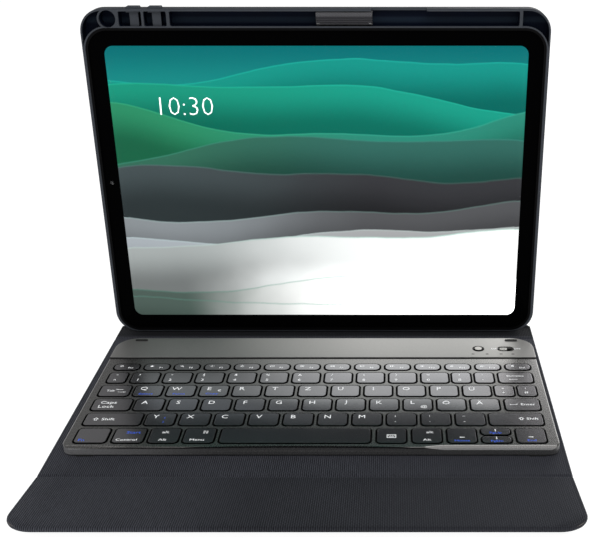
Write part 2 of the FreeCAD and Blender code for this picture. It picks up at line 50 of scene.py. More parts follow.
# ---------------------------------------------------------------- node helpers
class Graph:
    def __init__(self, name):
        self.mat = bpy.data.materials.new(name)
        self.mat.use_nodes = True
        self.t = self.mat.node_tree
        self.t.nodes.clear()
        self.out = self.t.nodes.new("ShaderNodeOutputMaterial")

    def node(self, kind, **props):
        n = self.t.nodes.new(kind)
        for k, v in props.items():
            setattr(n, k, v)
        return n

    def put(self, socket, value):
        if isinstance(value, bpy.types.NodeSocket):
            self.t.links.new(value, socket)
        elif value is not None:
            socket.default_value = value

    def math(self, op, a, b=None, c=None, clamp=False):
        n = self.node("ShaderNodeMath", operation=op, use_clamp=clamp)
        for s, v in zip(n.inputs, (a, b, c)):
            self.put(s, v)
        return n.outputs[0]

    def add(self, a, b):
        return self.math("ADD", a, b)

    def sub(self, a, b):
        return self.math("SUBTRACT", a, b)

    def mul(self, a, b):
        return self.math("MULTIPLY", a, b)

    def coord(self, kind):
        return self.node("ShaderNodeTexCoord").outputs[kind]

    def xyz(self, vec):
        n = self.node("ShaderNodeSeparateXYZ")
        self.put(n.inputs[0], vec)
        return n.outputs[0], n.outputs[1], n.outputs[2]

    def vec(self, x, y, z):
        n = self.node("ShaderNodeCombineXYZ")
        for s, v in zip(n.inputs, (x, y, z)):
            self.put(s, v)
        return n.outputs[0]

    def scaled(self, vec, sx, sy, sz):
        n = self.node("ShaderNodeMapping")
        self.put(n.inputs["Vector"], vec)
        n.inputs["Scale"].default_value = (sx, sy, sz)
        return n.outputs[0]

    def smooth(self, x, a, b, lo=0.0, hi=1.0, kind="SMOOTHSTEP"):
        n = self.node("ShaderNodeMapRange", interpolation_type=kind)
        self.put(n.inputs["Value"], x)
        n.inputs["From Min"].default_value = a
        n.inputs["From Max"].default_value = b
        n.inputs["To Min"].default_value = lo
        n.inputs["To Max"].default_value = hi
        return n.outputs[0]

    def mix(self, fac, a, b, blend="MIX"):
        n = self.node("ShaderNodeMix", data_type="RGBA", blend_type=blend)
        self.put(n.inputs[0], fac)
        self.put(n.inputs[6], a)
        self.put(n.inputs[7], b)
        return n.outputs[2]

    def ramp(self, fac, stops, kind="LINEAR"):
        n = self.node("ShaderNodeValToRGB")
        n.color_ramp.interpolation = kind
        e = n.color_ramp.elements
        while len(e) < len(stops):
            e.new(0.5)
        for el, (p, c) in zip(e, stops):
            el.position = p
            el.color = (*c, 1.0)
        self.put(n.inputs[0], fac)
        return n.outputs[0]

    def noise(self, vec, scale, detail=2.0, rough=0.5, what="Fac"):
        n = self.node("ShaderNodeTexNoise")
        self.put(n.inputs["Vector"], vec)
        n.inputs["Scale"].default_value = scale
        n.inputs["Detail"].default_value = detail
        n.inputs["Roughness"].default_value = rough
        return n.outputs[what]

    def bump(self, height, strength, distance, normal=None):
        n = self.node("ShaderNodeBump")
        n.inputs["Strength"].default_value = strength
        n.inputs["Distance"].default_value = distance
        self.put(n.inputs["Height"], height)
        if normal is not None:
            self.put(n.inputs["Normal"], normal)
        return n.outputs[0]

    def principled(self, **kw):
        n = self.node("ShaderNodeBsdfPrincipled")
        for k, v in kw.items():
            self.put(n.inputs[k.replace("_", " ")], v)
        return n

    def done(self, shader):
        self.t.links.new(shader.outputs[0], self.out.inputs["Surface"])
        return self.mat


def col(r, g, b):
    return (r, g, b, 1.0)


# ---------------------------------------------------------------- materials
def woven(name, dark, light, px=0.98, py=1.20, lift=0.00016, sheen=0.12, fade=None, soft=None, middle_shade=None):
    """Fine ribbed weave, the warp ribs stronger than the picks; the mesh's UV is in metres.
    fade = (v0, v1, share): painted shade, the cloth goes darker from v0 to v1, down to that share.
    soft: share of the rib contrast that is left at the right. worn: painted shade, the tone of the middle against the
    left."""
    g = Graph(name)
    uv = g.coord("UV")
    u, v, _ = g.xyz(uv)
    wob = g.noise(g.scaled(uv, 60, 60, 1), 1.0, 2.0)
    u2 = g.add(u, g.mul(g.sub(wob, 0.5), 0.00010))
    v2 = g.add(v, g.mul(g.sub(wob, 0.5), 0.00030))
    rib = g.math("MULTIPLY_ADD", g.math("SINE", g.mul(u2, 2 * PI / (px * MM))), 0.5, 0.5)
    su = g.math("SINE", g.mul(u2, PI / (px * MM)))
    sv = g.math("SINE", g.mul(v2, PI / (py * MM)))
    over = g.math("MULTIPLY_ADD", g.mul(su, sv), 1.4, 0.5, clamp=True)
    h = g.add(g.mul(rib, 0.66), g.mul(over, 0.30))
    fibre = g.noise(g.scaled(uv, 5200, 900, 1), 1.0, 3.0, 0.6)
    slub = g.noise(g.scaled(uv, 1000, 170, 1), 1.0, 2.0, 0.6)
    cloud = g.noise(g.scaled(uv, 26, 26, 1), 1.0, 3.0, 0.55)
    tone = g.add(g.mul(rib, 0.86), g.mul(over, 0.14))
    tone = g.add(tone, g.mul(g.sub(slub, 0.5), 0.55))
    tone = g.add(tone, g.mul(g.sub(fibre, 0.5), 0.25))
    tone = g.add(tone, g.mul(g.sub(cloud, 0.5), 0.30))
    x, _, _ = g.xyz(g.coord("Object"))
    if soft:
        tone = g.add(0.5, g.mul(g.sub(tone, 0.5), g.smooth(x, 0.0, 0.085, 1.0, soft)))
    c = g.mix(g.smooth(tone, 0.0, 1.0, kind="LINEAR"), col(*dark), col(*light))
    # painted shade: the middle of the cloth is drawn darker, the right side a little
    if middle_shade:
        part = g.mul(g.smooth(x, -0.075, -0.012), g.smooth(x, 0.030, 0.105, 1.0, 0.72))
        c = g.mix(part, c, g.mix(1.0, c, col(middle_shade, middle_shade, middle_shade * 1.02), "MULTIPLY"))
    # painted shade: the cloth is drawn darker from v0 to v1
    if fade:
        c = g.mix(g.smooth(v, fade[0], fade[1]), c, g.mix(1.0, c, col(fade[2], fade[2], fade[2] * 1.15), "MULTIPLY"))
    height = g.add(h, g.mul(fibre, 0.25))
    n = g.bump(height, 0.85, lift)
    rough = g.smooth(tone, 0.0, 1.0, 0.92, 0.76, kind="LINEAR")
    p = g.principled(Base_Color=c, Roughness=rough, Normal=n)
    p.inputs["Specular IOR Level"].default_value = 0.15
    p.inputs["Sheen Weight"].default_value = sheen
    p.inputs["Sheen Roughness"].default_value = 0.45
    p.inputs["Sheen Tint"].default_value = col(0.55, 0.58, 0.68)
    return g.done(p)


def rubber(name, face, pocket):
    """Soft moulded plastic: grey outer faces; painted shade makes it near black inside the groove and its pockets."""
    g = Graph(name)
    o = g.coord("Object")
    x, y, z = g.xyz(o)
    # distance inside the tray's rounded outline, in metres
    qx = g.sub(g.math("ABSOLUTE", x), 0.1262 - 0.0125)
    qz = g.sub(g.math("ABSOLUTE", g.sub(z, 0.09815)), 0.09525 - 0.0125)
    ax = g.math("MAXIMUM", qx, 0.0)
    az = g.math("MAXIMUM", qz, 0.0)
    far = g.math("SQRT", g.add(g.mul(ax, ax), g.mul(az, az)))
    near = g.math("MINIMUM", g.math("MAXIMUM", qx, qz), 0.0)
    d = g.sub(g.add(far, near), 0.0125)
    # painted shade: inside the rim and deeper than its front face the tray is drawn near black; faces turned to the
    # front stay grey, except on the groove floor
    inside = g.smooth(d, -0.00105, -0.00075, 1.0, 0.0)
    deep = g.smooth(y, 0.0964, 0.0976)
    nx, ny, nz = g.xyz(g.coord("Normal"))
    facing = g.smooth(ny, -0.9, -0.6, 1.0, 0.0)
    bed = g.smooth(y, 0.1021, 0.1025)
    shade = g.mul(g.mul(inside, deep), g.sub(1.0, g.mul(facing, g.sub(1.0, bed))))
    # painted highlight: a lighter band runs along the middle of the groove floor
    band = g.mul(bed, g.smooth(g.math("ABSOLUTE", g.sub(z, 0.1868)), 0.0006, 0.0023, 1.0, 0.0))
    # painted shade: the lip is drawn black next to the glass and stays grey along its outer edge
    ex = g.sub(g.math("ABSOLUTE", x), 0.1230 - 0.0107)
    ez = g.sub(g.math("ABSOLUTE", g.sub(z, 0.0937)), 0.08845 - 0.0107)
    bx = g.math("MAXIMUM", ex, 0.0)
    bz = g.math("MAXIMUM", ez, 0.0)
    away = g.math("SQRT", g.add(g.mul(bx, bx), g.mul(bz, bz)))
    within = g.math("MINIMUM", g.math("MAXIMUM", ex, ez), 0.0)
    e = g.sub(g.add(away, within), 0.0107)
    lip = g.mul(g.smooth(e, 0.00125, 0.00155, 1.0, 0.0), g.smooth(y, 0.0970, 0.0974, 1.0, 0.0))
    mott = g.noise(g.scaled(o, 90, 90, 90), 1.0, 4.0, 0.6)
    fine = g.noise(g.scaled(o, 5200, 5200, 5200), 1.0, 2.0, 0.6)
    grey = g.mix(mott, col(*[k * 0.86 for k in face]), col(*[k * 1.14 for k in face]))
    dark = g.mix(mott, col(*[k * 0.7 for k in pocket]), col(*[k * 1.5 for k in pocket]))
    dark = g.mix(g.mul(band, g.add(0.45, g.mul(fine, 0.6))), dark, col(pocket[0] * 9.0, pocket[1] * 6.0, pocket[2] * 3.2))
    c = g.mix(shade, grey, dark)
    c = g.mix(lip, c, col(0.0012, 0.0012, 0.0014))
    rough = g.smooth(mott, 0.25, 0.75, 0.5, 0.62, kind="LINEAR")
    n = g.bump(fine, 0.25, 0.00006)
    p = g.principled(Base_Color=c, Roughness=rough, Normal=n)
    p.inputs["Specular IOR Level"].default_value = 0.05
    return g.done(p)


def satin(name, base, metallic, rough, spark=0.10, side=None, top=None, spec=0.5, ends=None, edge=(0.00045, 0.00012), brushed=0.0):
    """Painted satin finish with a fine metallic grain. Below top the colour turns to side."""
    g = Graph(name)
    o = g.coord("Object")
    x, y, z = g.xyz(o)
    grain = g.noise(g.scaled(o, 2600, 2600, 2600), 1.0, 2.0, 0.65)
    cloud = g.noise(g.scaled(o, 32, 32, 32), 1.0, 3.0, 0.5)
    t = g.add(g.mul(g.sub(grain, 0.5), spark * 4.0), g.mul(g.sub(cloud, 0.5), 0.25))
    t = g.add(t, 0.5)
    c = g.mix(t, col(*[k * (1 - spark * 1.6) for k in base]), col(*[k * (1 + spark * 1.6) for k in base]))
    if side is not None:
        m = g.smooth(z, top - edge[0], top - edge[1])
        wall = col(*side)
        if ends:
            # painted reflection and shade: the lower wall is drawn lighter towards the left end, and the cut edge below
            # 7.7 mm is drawn darker, a little more so to the right
            wall = g.mix(g.smooth(x, -0.115, -0.035), col(*[k * ends[0] for k in side]), wall)
            cut = g.mix(g.smooth(x, -0.060, 0.050), col(*[k * ends[1] for k in base]), col(*[k * ends[2] for k in base]))
            c = g.mix(g.smooth(z, 0.00766, 0.00774), cut, c)
        c = g.mix(m, wall, c)
    r = g.smooth(g.add(grain, g.mul(cloud, 0.4)), 0.4, 1.0, rough - 0.05, rough + 0.06, kind="LINEAR")
    n = g.bump(grain, 0.10, 0.00004)
    p = g.principled(Base_Color=c, Roughness=r, Normal=n)
    if side is not None:
        g.put(p.inputs["Metallic"], g.mul(m, metallic))
    else:
        p.inputs["Metallic"].default_value = metallic
    p.inputs["Specular IOR Level"].default_value = spec
    if brushed:
        # drawn finish: reflections spread along the keyboard
        along = g.node("ShaderNodeTangent")
        along.direction_type = "RADIAL"
        along.axis = "Y"
        p.inputs["Anisotropic"].default_value = brushed
        g.t.links.new(along.outputs[0], p.inputs["Tangent"])
    return g.done(p)


def plain(name, base, rough=0.6, metallic=0.0, scale=400.0, vary=0.18, spec=0.4, lift=0.00003):
    g = Graph(name)
    o = g.coord("Object")
    n1 = g.noise(g.scaled(o, scale, scale, scale), 1.0, 4.0, 0.6)
    c = g.mix(n1, col(*[k * (1 - vary) for k in base]), col(*[k * (1 + vary) for k in base]))
    r = g.smooth(n1, 0.2, 0.8, max(rough - 0.07, 0.02), min(rough + 0.07, 1.0), kind="LINEAR")
    p = g.principled(Base_Color=c, Roughness=r, Normal=g.bump(n1, 0.2, lift))
    p.inputs["Metallic"].default_value = metallic
    p.inputs["Specular IOR Level"].default_value = spec
    return g.done(p)


def ink(name, base, glow=0.0, spec=0.25):
    g = Graph(name)
    o = g.coord("Object")
    n1 = g.noise(g.scaled(o, 3000, 3000, 3000), 1.0, 2.0, 0.6)
    c = g.mix(n1, col(*[k * 0.86 for k in base]), col(*[min(k * 1.06, 1.0) for k in base]))
    p = g.principled(Base_Color=c, Roughness=0.55, Normal=g.bump(n1, 0.1, 0.00002))
    p.inputs["Specular IOR Level"].default_value = spec
    # painted glow: the key and strip prints give off light of their own colour; on the screen clock the glow is the
    # screen's own light
    if glow:
        g.put(p.inputs["Emission Color"], c)
        p.inputs["Emission Strength"].default_value = glow
    return g.done(p)


DISP_X, DISP_Z0, DISP_Z1 = 0.1149, 0.01345, 0.17395
FCAM = (-0.11935, 0.0967)


def cover_glass(name):
    """Black printed border with a clear window over the display and the small camera."""
    g = Graph(name)
    o = g.coord("Object")
    x, y, z = g.xyz(o)
    r = 0.005
    qx = g.sub(g.math("ABSOLUTE", x), DISP_X - r)
    qz = g.sub(g.math("ABSOLUTE", g.sub(z, (DISP_Z0 + DISP_Z1) / 2)), (DISP_Z1 - DISP_Z0) / 2 - r)
    ax = g.math("MAXIMUM", qx, 0.0)
    az = g.math("MAXIMUM", qz, 0.0)
    far = g.math("SQRT", g.add(g.mul(ax, ax), g.mul(az, az)))
    near = g.math("MINIMUM", g.math("MAXIMUM", qx, qz), 0.0)
    d = g.sub(g.add(far, near), r)
    clear = g.smooth(d, -0.00008, 0.00004, 1.0, 0.0)
    cx = g.sub(x, FCAM[0])
    cz = g.sub(z, FCAM[1])
    dc = g.math("SQRT", g.add(g.mul(cx, cx), g.mul(cz, cz)))
    hole = g.smooth(dc, 0.0011, 0.0013, 1.0, 0.0)
    clear = g.math("MAXIMUM", clear, hole)
    smear = g.noise(g.scaled(o, 18, 18, 18), 1.0, 4.0, 0.55)
    rough = g.smooth(smear, 0.3, 0.8, 0.04, 0.09, kind="LINEAR")
    black = g.mix(smear, col(0.0005, 0.0005, 0.0006), col(0.0009, 0.0009, 0.0010))
    p = g.principled(Base_Color=black, Roughness=rough)
    p.inputs["Specular IOR Level"].default_value = 0.003
    tr = g.node("ShaderNodeBsdfTransparent")
    gl = g.node("ShaderNodeBsdfGlossy")
    g.put(gl.inputs["Roughness"], rough)
    lw = g.node("ShaderNodeLayerWeight")
    lw.inputs["Blend"].default_value = 0.12
    pane = g.node("ShaderNodeMixShader")
    g.put(pane.inputs[0], g.mul(lw.outputs["Fresnel"], 0.16))
    g.t.links.new(tr.outputs[0], pane.inputs[1])
    g.t.links.new(gl.outputs[0], pane.inputs[2])
    mix = g.node("ShaderNodeMixShader")
    g.put(mix.inputs[0], clear)
    g.t.links.new(p.outputs[0], mix.inputs[1])
    g.t.links.new(pane.outputs[0], mix.inputs[2])
    return g.done(mix)


HILLS = [
    # crest in mm, two waves (height, turns, phase), colour at the left, colour at the right
    (161.0, (6.0, 2.3, 0.6), (2.5, 5.2, 1.9), (0.004, 0.230, 0.180), (0.004, 0.235, 0.195)),
    (147.0, (8.0, 2.0, 2.4), (3.0, 4.7, 0.2), (0.006, 0.238, 0.155), (0.006, 0.262, 0.188)),
    (131.0, (9.0, 2.6, 4.4), (3.5, 5.6, 1.1), (0.018, 0.208, 0.100), (0.018, 0.198, 0.142)),
    (117.0, (7.0, 1.9, 1.0), (3.5, 4.4, 3.0), (0.024, 0.112, 0.072), (0.024, 0.110, 0.090)),
    (102.0, (3.6, 2.4, 3.3), (1.8, 5.9, 0.4), (0.044, 0.060, 0.064), (0.028, 0.029, 0.033)),
    (80.0, (5.0, 1.8, 5.6), (2.5, 4.9, 2.0), (0.195, 0.215, 0.228), (0.070, 0.072, 0.077)),
    (66.0, (4.5, 1.7, 5.9), (2.0, 5.1, 0.9), (0.300, 0.330, 0.355), (0.300, 0.306, 0.312)),
    (63.0, (4.0, 1.8, 6.2), (2.0, 4.6, 2.6), (0.290, 0.315, 0.312), (1.040, 1.070, 1.060)),
    (34.0, (5.0, 2.1, 0.4), (2.0, 5.3, 1.2), (0.056, 0.084, 0.072), (1.550, 1.560, 1.540)),
    (21.5, (3.4, 1.9, 3.6), (1.4, 4.9, 0.7), (0.056, 0.084, 0.072), (1.550, 1.560, 1.540)),
]


def lit_display(name):
    """Plain abstract screen: overlapping rounded hills, lit from the right, pale in front and deep green behind."""
    g = Graph(name)
    o = g.coord("Object")
    x, y, z = g.xyz(o)
    u = g.mul(x, 1.0 / 0.115)
    h = g.mul(z, 1000.0)
    grain = g.noise(g.scaled(o, 300, 300, 300), 1.0, 3.0, 0.6)
    drift = g.noise(g.scaled(o, 22, 22, 22), 1.0, 3.0, 0.5)
    across = g.smooth(g.add(x, g.mul(g.sub(drift, 0.5), 0.03)), -0.088, 0.040)
    now = g.mix(g.smooth(h, 150.0, 176.0), col(0.010, 0.27, 0.25), col(0.003, 0.165, 0.180))
    for base, w1, w2, left, right in HILLS:
        wave = g.add(g.mul(g.math("SINE", g.add(g.mul(u, w1[1]), w1[2])), w1[0]), base)
        wave = g.add(wave, g.mul(g.math("SINE", g.add(g.mul(u, w2[1]), w2[2])), w2[0]))
        wave = g.add(wave, g.mul(g.sub(drift, 0.5), 4.0))
        d = g.sub(wave, h)
        cover = g.smooth(d, -0.18, 0.18)
        ends = []
        for c in (left, right):
            pale = c[0] > 1.0
            light = col(*[k if pale else k * 1.35 + 0.004 for k in c])
            deep = col(*[k * (1.45 if pale else 0.62) for k in c])
            crest = col(0.02, 0.42, 0.28) if pale else col(*[k * 1.8 + e for k, e in zip(c, (0.01, 0.11, 0.075))])
            ends.append((light, deep, crest))
        (l0, d0, c0), (l1, d1, c1) = ends
        body = g.smooth(g.add(d, g.mul(g.sub(grain, 0.5), 1.0)), 1.0, 24.0)
        bright = g.mix(g.smooth(d, 14.0, 28.0) if right[0] > 1.0 else body, l1, d1)
        # painted glare: towards the screen's right edge the pale hills glow brighter than white
        if right[0] > 1.0:
            k = 1.15 if base > 50.0 else 2.6
            bright = g.mix(g.smooth(x, 0.088, 0.113), bright, col(k, k, k * 0.985))
        tone = g.mix(across, g.mix(body, l0, d0), bright)
        tone = g.mix(g.smooth(d, 0.0, 1.1, 0.6, 0.0), tone, g.mix(across, c0, c1))
        now = g.mix(cover, now, tone)
    p = g.principled(Base_Color=col(0.004, 0.004, 0.004), Roughness=0.3)
    g.put(p.inputs["Emission Color"], now)
    p.inputs["Emission Strength"].default_value = 1.0
    p.inputs["Specular IOR Level"].default_value = 0.0
    return g.done(p)


def strip_finish(name, base):
    """As satin, with painted shade: the strip's front wall, down into its groove, is drawn near black."""
    g = Graph(name)
    o = g.coord("Object")
    x, y, z = g.xyz(o)
    grain = g.noise(g.scaled(o, 2100, 2100, 2100), 1.0, 2.0, 0.7)
    cloud = g.noise(g.scaled(o, 30, 30, 30), 1.0, 3.0, 0.5)
    t = g.add(g.add(g.mul(g.sub(grain, 0.5), 0.9), g.mul(g.sub(cloud, 0.5), 0.25)), 0.5)
    c = g.mix(t, col(*[k * 0.78 for k in base]), col(*[k * 1.22 for k in base]))
    # painted shade: below the top face at the front the strip is drawn near black and not metallic
    top = g.math("MAXIMUM", g.smooth(z, 0.00832, 0.00839), g.smooth(y, 0.0516, 0.0520))
    c = g.mix(top, col(0.010, 0.0095, 0.0095), c)
    r = g.smooth(g.add(grain, g.mul(cloud, 0.4)), 0.4, 1.0, 0.44, 0.56, kind="LINEAR")
    p = g.principled(Base_Color=c, Roughness=r, Normal=g.bump(grain, 0.14, 0.00004))
    g.put(p.inputs["Metallic"], g.mul(top, 0.95))
    p.inputs["Specular IOR Level"].default_value = 0.4
    return g.done(p)


def button_finish(name, cx, cy, r):
    """Dark button with a bright centre."""
    g = Graph(name)
    o = g.coord("Object")
    x, y, z = g.xyz(o)
    dx, dy = g.sub(x, cx), g.sub(y, cy)
    d = g.math("SQRT", g.add(g.mul(dx, dx), g.mul(dy, dy)))
    m = g.smooth(d, r - 0.00008, r + 0.00008, 1.0, 0.0)
    grain = g.noise(g.scaled(o, 2600, 2600, 2600), 1.0, 2.0, 0.6)
    c = g.mix(m, col(0.004, 0.004, 0.0045), g.mix(grain, col(0.42, 0.41, 0.39), col(0.62, 0.60, 0.58)))
    p = g.principled(Base_Color=c, Roughness=g.smooth(grain, 0.2, 0.8, 0.40, 0.50), Normal=g.bump(grain, 0.12, 0.00004))
    g.put(p.inputs["Metallic"], g.mul(m, 0.7))
    p.inputs["Specular IOR Level"].default_value = 0.04
    return g.done(p)


M = {
    "fabric": woven("woven_charcoal", (0.0015, 0.0016, 0.0028), (0.0595, 0.0618, 0.0755), soft=0.45),
    "flap": woven("woven_flap", (0.0015, 0.0016, 0.0028), (0.0595, 0.0618, 0.0755), soft=0.45, middle_shade=0.54),
    "rear": woven("woven_rear", (0.0150, 0.0157, 0.0196), (0.0425, 0.0442, 0.0541)),
    # painted shade: the spine's cloth is drawn darker than the fabric, and darker still towards the tray
    "spine": woven("woven_spine", (0.0030, 0.0032, 0.0046), (0.0400, 0.0416, 0.0510), fade=(0.0882, 0.0918, 0.03)),
    "lining": woven("woven_lining", (0.0030, 0.0032, 0.0044), (0.0480, 0.0500, 0.0610)),
    "tray": rubber("soft_tray", (0.0425, 0.0470, 0.0550), (0.0012, 0.0030, 0.0092)),
    "strip": strip_finish("satin_strip", (0.385, 0.377, 0.368)),
    "deck": satin("satin_deck", (0.225, 0.220, 0.216), 0.94, 0.27, side=(0.045, 0.045, 0.046), top=0.0070, ends=(3.2, 0.36, 0.32), brushed=0.6),
    "cap": satin("satin_cap", (0.305, 0.298, 0.310), 0.985, 0.180, spec=0.05, spark=0.06, brushed=0.85, side=(0.0015, 0.0015, 0.0016), top=0.0081, edge=(0.00003, 0.000003)),
    "button": button_finish("button_finish", 0.0906, 0.0619, 0.00205),
    "under": plain("matt_black", (0.010, 0.010, 0.011), 0.75),
    "silicone": plain("silicone_black", (0.008, 0.008, 0.008), 0.7),
    "circuit": plain("circuit_black", (0.006, 0.007, 0.008), 0.8),
    "board": plain("grey_board", (0.20, 0.18, 0.15), 0.9, scale=260.0),
    "steel": plain("bright_steel", (0.55, 0.55, 0.57), 0.32, 1.0, scale=900.0, vary=0.08),
    "foil": plain("cell_foil", (0.45, 0.45, 0.47), 0.4, 0.9, scale=120.0, vary=0.1),
    "housing": plain("satin_housing", (0.32, 0.33, 0.35), 0.34, 0.95, scale=1800.0, vary=0.06),
    "lens": plain("dark_lens", (0.004, 0.004, 0.006), 0.08, 0.0, scale=60.0, vary=0.3, spec=0.5, lift=0.0),
    "control": satin("satin_control", (0.30, 0.295, 0.28), 0.6, 0.34),
    "lamp": plain("clear_lamp", (0.02, 0.02, 0.02), 0.25, 0.0, scale=300.0),
    "glass": cover_glass("cover_glass"),
    "display": lit_display("lit_display"),
    "white_ink": ink("white_ink", (0.88, 0.89, 0.90), 0.35),
    "blue_ink": ink("blue_ink", (0.030, 0.110, 0.70), 0.30),
    "black_ink": ink("black_ink", (0.003, 0.003, 0.0034), 0.0, 0.03),
    "clock_ink": ink("clock_ink", (0.9, 0.95, 0.94), 0.9),
}


def dress(mat, *names):
    for n in names:
        o = NODES[n]
        o.data.materials.clear()
        o.data.materials.append(M[mat])


dress("board", "base_board", "flap_board", "spine_board", "back_board", "leg_board")
dress("steel", "base_magnets", "flap_magnets", "leg_magnets", "keyboard_magnets", "keyboard_screws", "charging_port")
dress("tray", "tray_shell", "volume_up_pad", "volume_down_pad")
dress("housing", "tablet_housing")
dress("glass", "front_glass")
dress("display", "display_panel")
dress("lens", "front_camera", "rear_camera")
dress("deck", "keyboard_top_frame")
dress("strip", "keyboard_upper_strip")
dress("under", "keyboard_bottom_cover")
dress("circuit", "switch_film", "circuit_board")
dress("silicone", "dome_sheet", "bumper_pads")
dress("foil", "battery_cell")
dress("lamp", "indicator_lights")
dress("control", "power_switch")
dress("button", "connect_button")
KEY_NODES = [n for n in NODES if n.startswith("key_") or n.startswith("keys_")]
dress("cap", *KEY_NODES)
dress("fabric", "base_outer_skin", "flap_outer_skin", "spine_outer_skin", "back_outer_skin", "leg_outer_skin")
dress("lining", "base_inner_skin", "flap_inner_skin", "spine_inner_skin", "leg_inner_skin", "pencil_loop")


# ---------------------------------------------------------------- mesh helpers
def make(name, verts, faces, mat, uvs=None, sharp=40.0, recalc=True):
    """verts in mm; uvs, one pair for each vertex, in metres."""
    me = bpy.data.meshes.new(name)
    me.from_pydata([tuple(c * MM for c in v) for v in verts], [], faces)
    if uvs is not None:
        layer = me.uv_layers.new(name="UVMap")
        for li, loop in enumerate(me.loops):
            layer.data[li].uv = uvs[loop.vertex_index]
    bm = bmesh.new()
    bm.from_mesh(me)
    if recalc:
        bmesh.ops.recalc_face_normals(bm, faces=bm.faces)
    for f in bm.faces:
        f.smooth = True
    bm.to_mesh(me)
    bm.free()
    me.set_sharp_from_angle(angle=math.radians(sharp))
    me.materials.append(M[mat])
    ob = bpy.data.objects.new(name, me)
    bpy.context.scene.collection.objects.link(ob)
    return ob


def printed(name, verts, faces, mat, sink):
    """Print of a little thickness; sink leads from its face into what it is printed on, in mm."""
    ob = make(name, verts, faces, mat, recalc=False)
    bm = bmesh.new()
    bm.from_mesh(ob.data)
    out = bmesh.ops.extrude_face_region(bm, geom=bm.faces[:])["geom"]
    bmesh.ops.translate(bm, verts=[v for v in out if isinstance(v, bmesh.types.BMVert)], vec=[c * MM for c in sink])
    bmesh.ops.recalc_face_normals(bm, faces=bm.faces)
    for f in bm.faces:
        f.smooth = False
    bm.to_mesh(ob.data)
    bm.free()
    return ob


SEAM = 1.6          # lining's edge, in from the panel's edge
SEAM_D = 0.10


def section(hx, zt, zb, cols=10, arc=10):
    """Cross-section of a covered panel: points (x, z, s) round it from the middle of its under side."""
    h = (zt - zb) / 2
    zc = (zt + zb) / 2
    out = []
    s = -2 * hx
    n = cols
    for i in range(n + 1):
        x = -(hx - h) * i / n
        out.append((x, zb, None))
    for i in range(1, arc):
        a = PI * i / arc
        out.append((-(hx - h) - h * math.sin(a), zc - h * math.cos(a), None))
    top = [-(hx - h), -(hx - SEAM + 0.16), -(hx - SEAM), -(hx - SEAM - 0.16)]
    dip = [0, 0, -SEAM_D, 0]
    for x, dz in zip(top, dip):
        out.append((x, zt + dz, None))
    inner = hx - SEAM - 0.16
    for i in range(1, 2 * n):
        out.append((-inner + 2 * inner * i / (2 * n), zt, None))
    for x, dz in zip(reversed(top), reversed(dip)):
        out.append((-x, zt + dz, None))
    for i in range(1, arc):
        a = PI * i / arc
        out.append(((hx - h) + h * math.sin(a), zc + h * math.cos(a), None))
    for i in range(n + 1):
        x = (hx - h) * (1 - i / n)
        out.append((x, zb, None))
    # arc length, zero at the middle of the upper side
    L = [0.0]
    for a, b in zip(out, out[1:]):
        L.append(L[-1] + math.hypot(b[0] - a[0], b[1] - a[1]))
    mid = L[-1] / 2
    return [(p[0], p[1], l - mid) for p, l in zip(out, L)]


def loft(name, rows, mat, place, caps=(True, True)):
    """rows: (y, top z, bottom z, half width). place maps a flat (x, y, z) to the row frame, in mm."""
    verts, uvs, faces = [], [], []
    m = None
    for y, zt, zb, hx in rows:
        sec = section(hx, zt, zb)
        m = len(sec)
        for x, z, s in sec:
            verts.append(place(x, y, z))
            uvs.append((s * MM, y * MM))
    for i in range(len(rows) - 1):
        for j in range(m - 1):
            a = i * m + j
            faces.append((a, a + 1, a + m + 1, a + m))
    for end, want in ((0, caps[0]), (len(rows) - 1, caps[1])):
        if not want:
            continue
        b = len(verts)
        for j in range(m - 1):
            verts.append(verts[end * m + j])
            uvs.append(uvs[end * m + j])
        ring = list(range(b, b + m - 1))
        faces.append(tuple(ring))
    return make(name, verts, faces, mat, uvs)


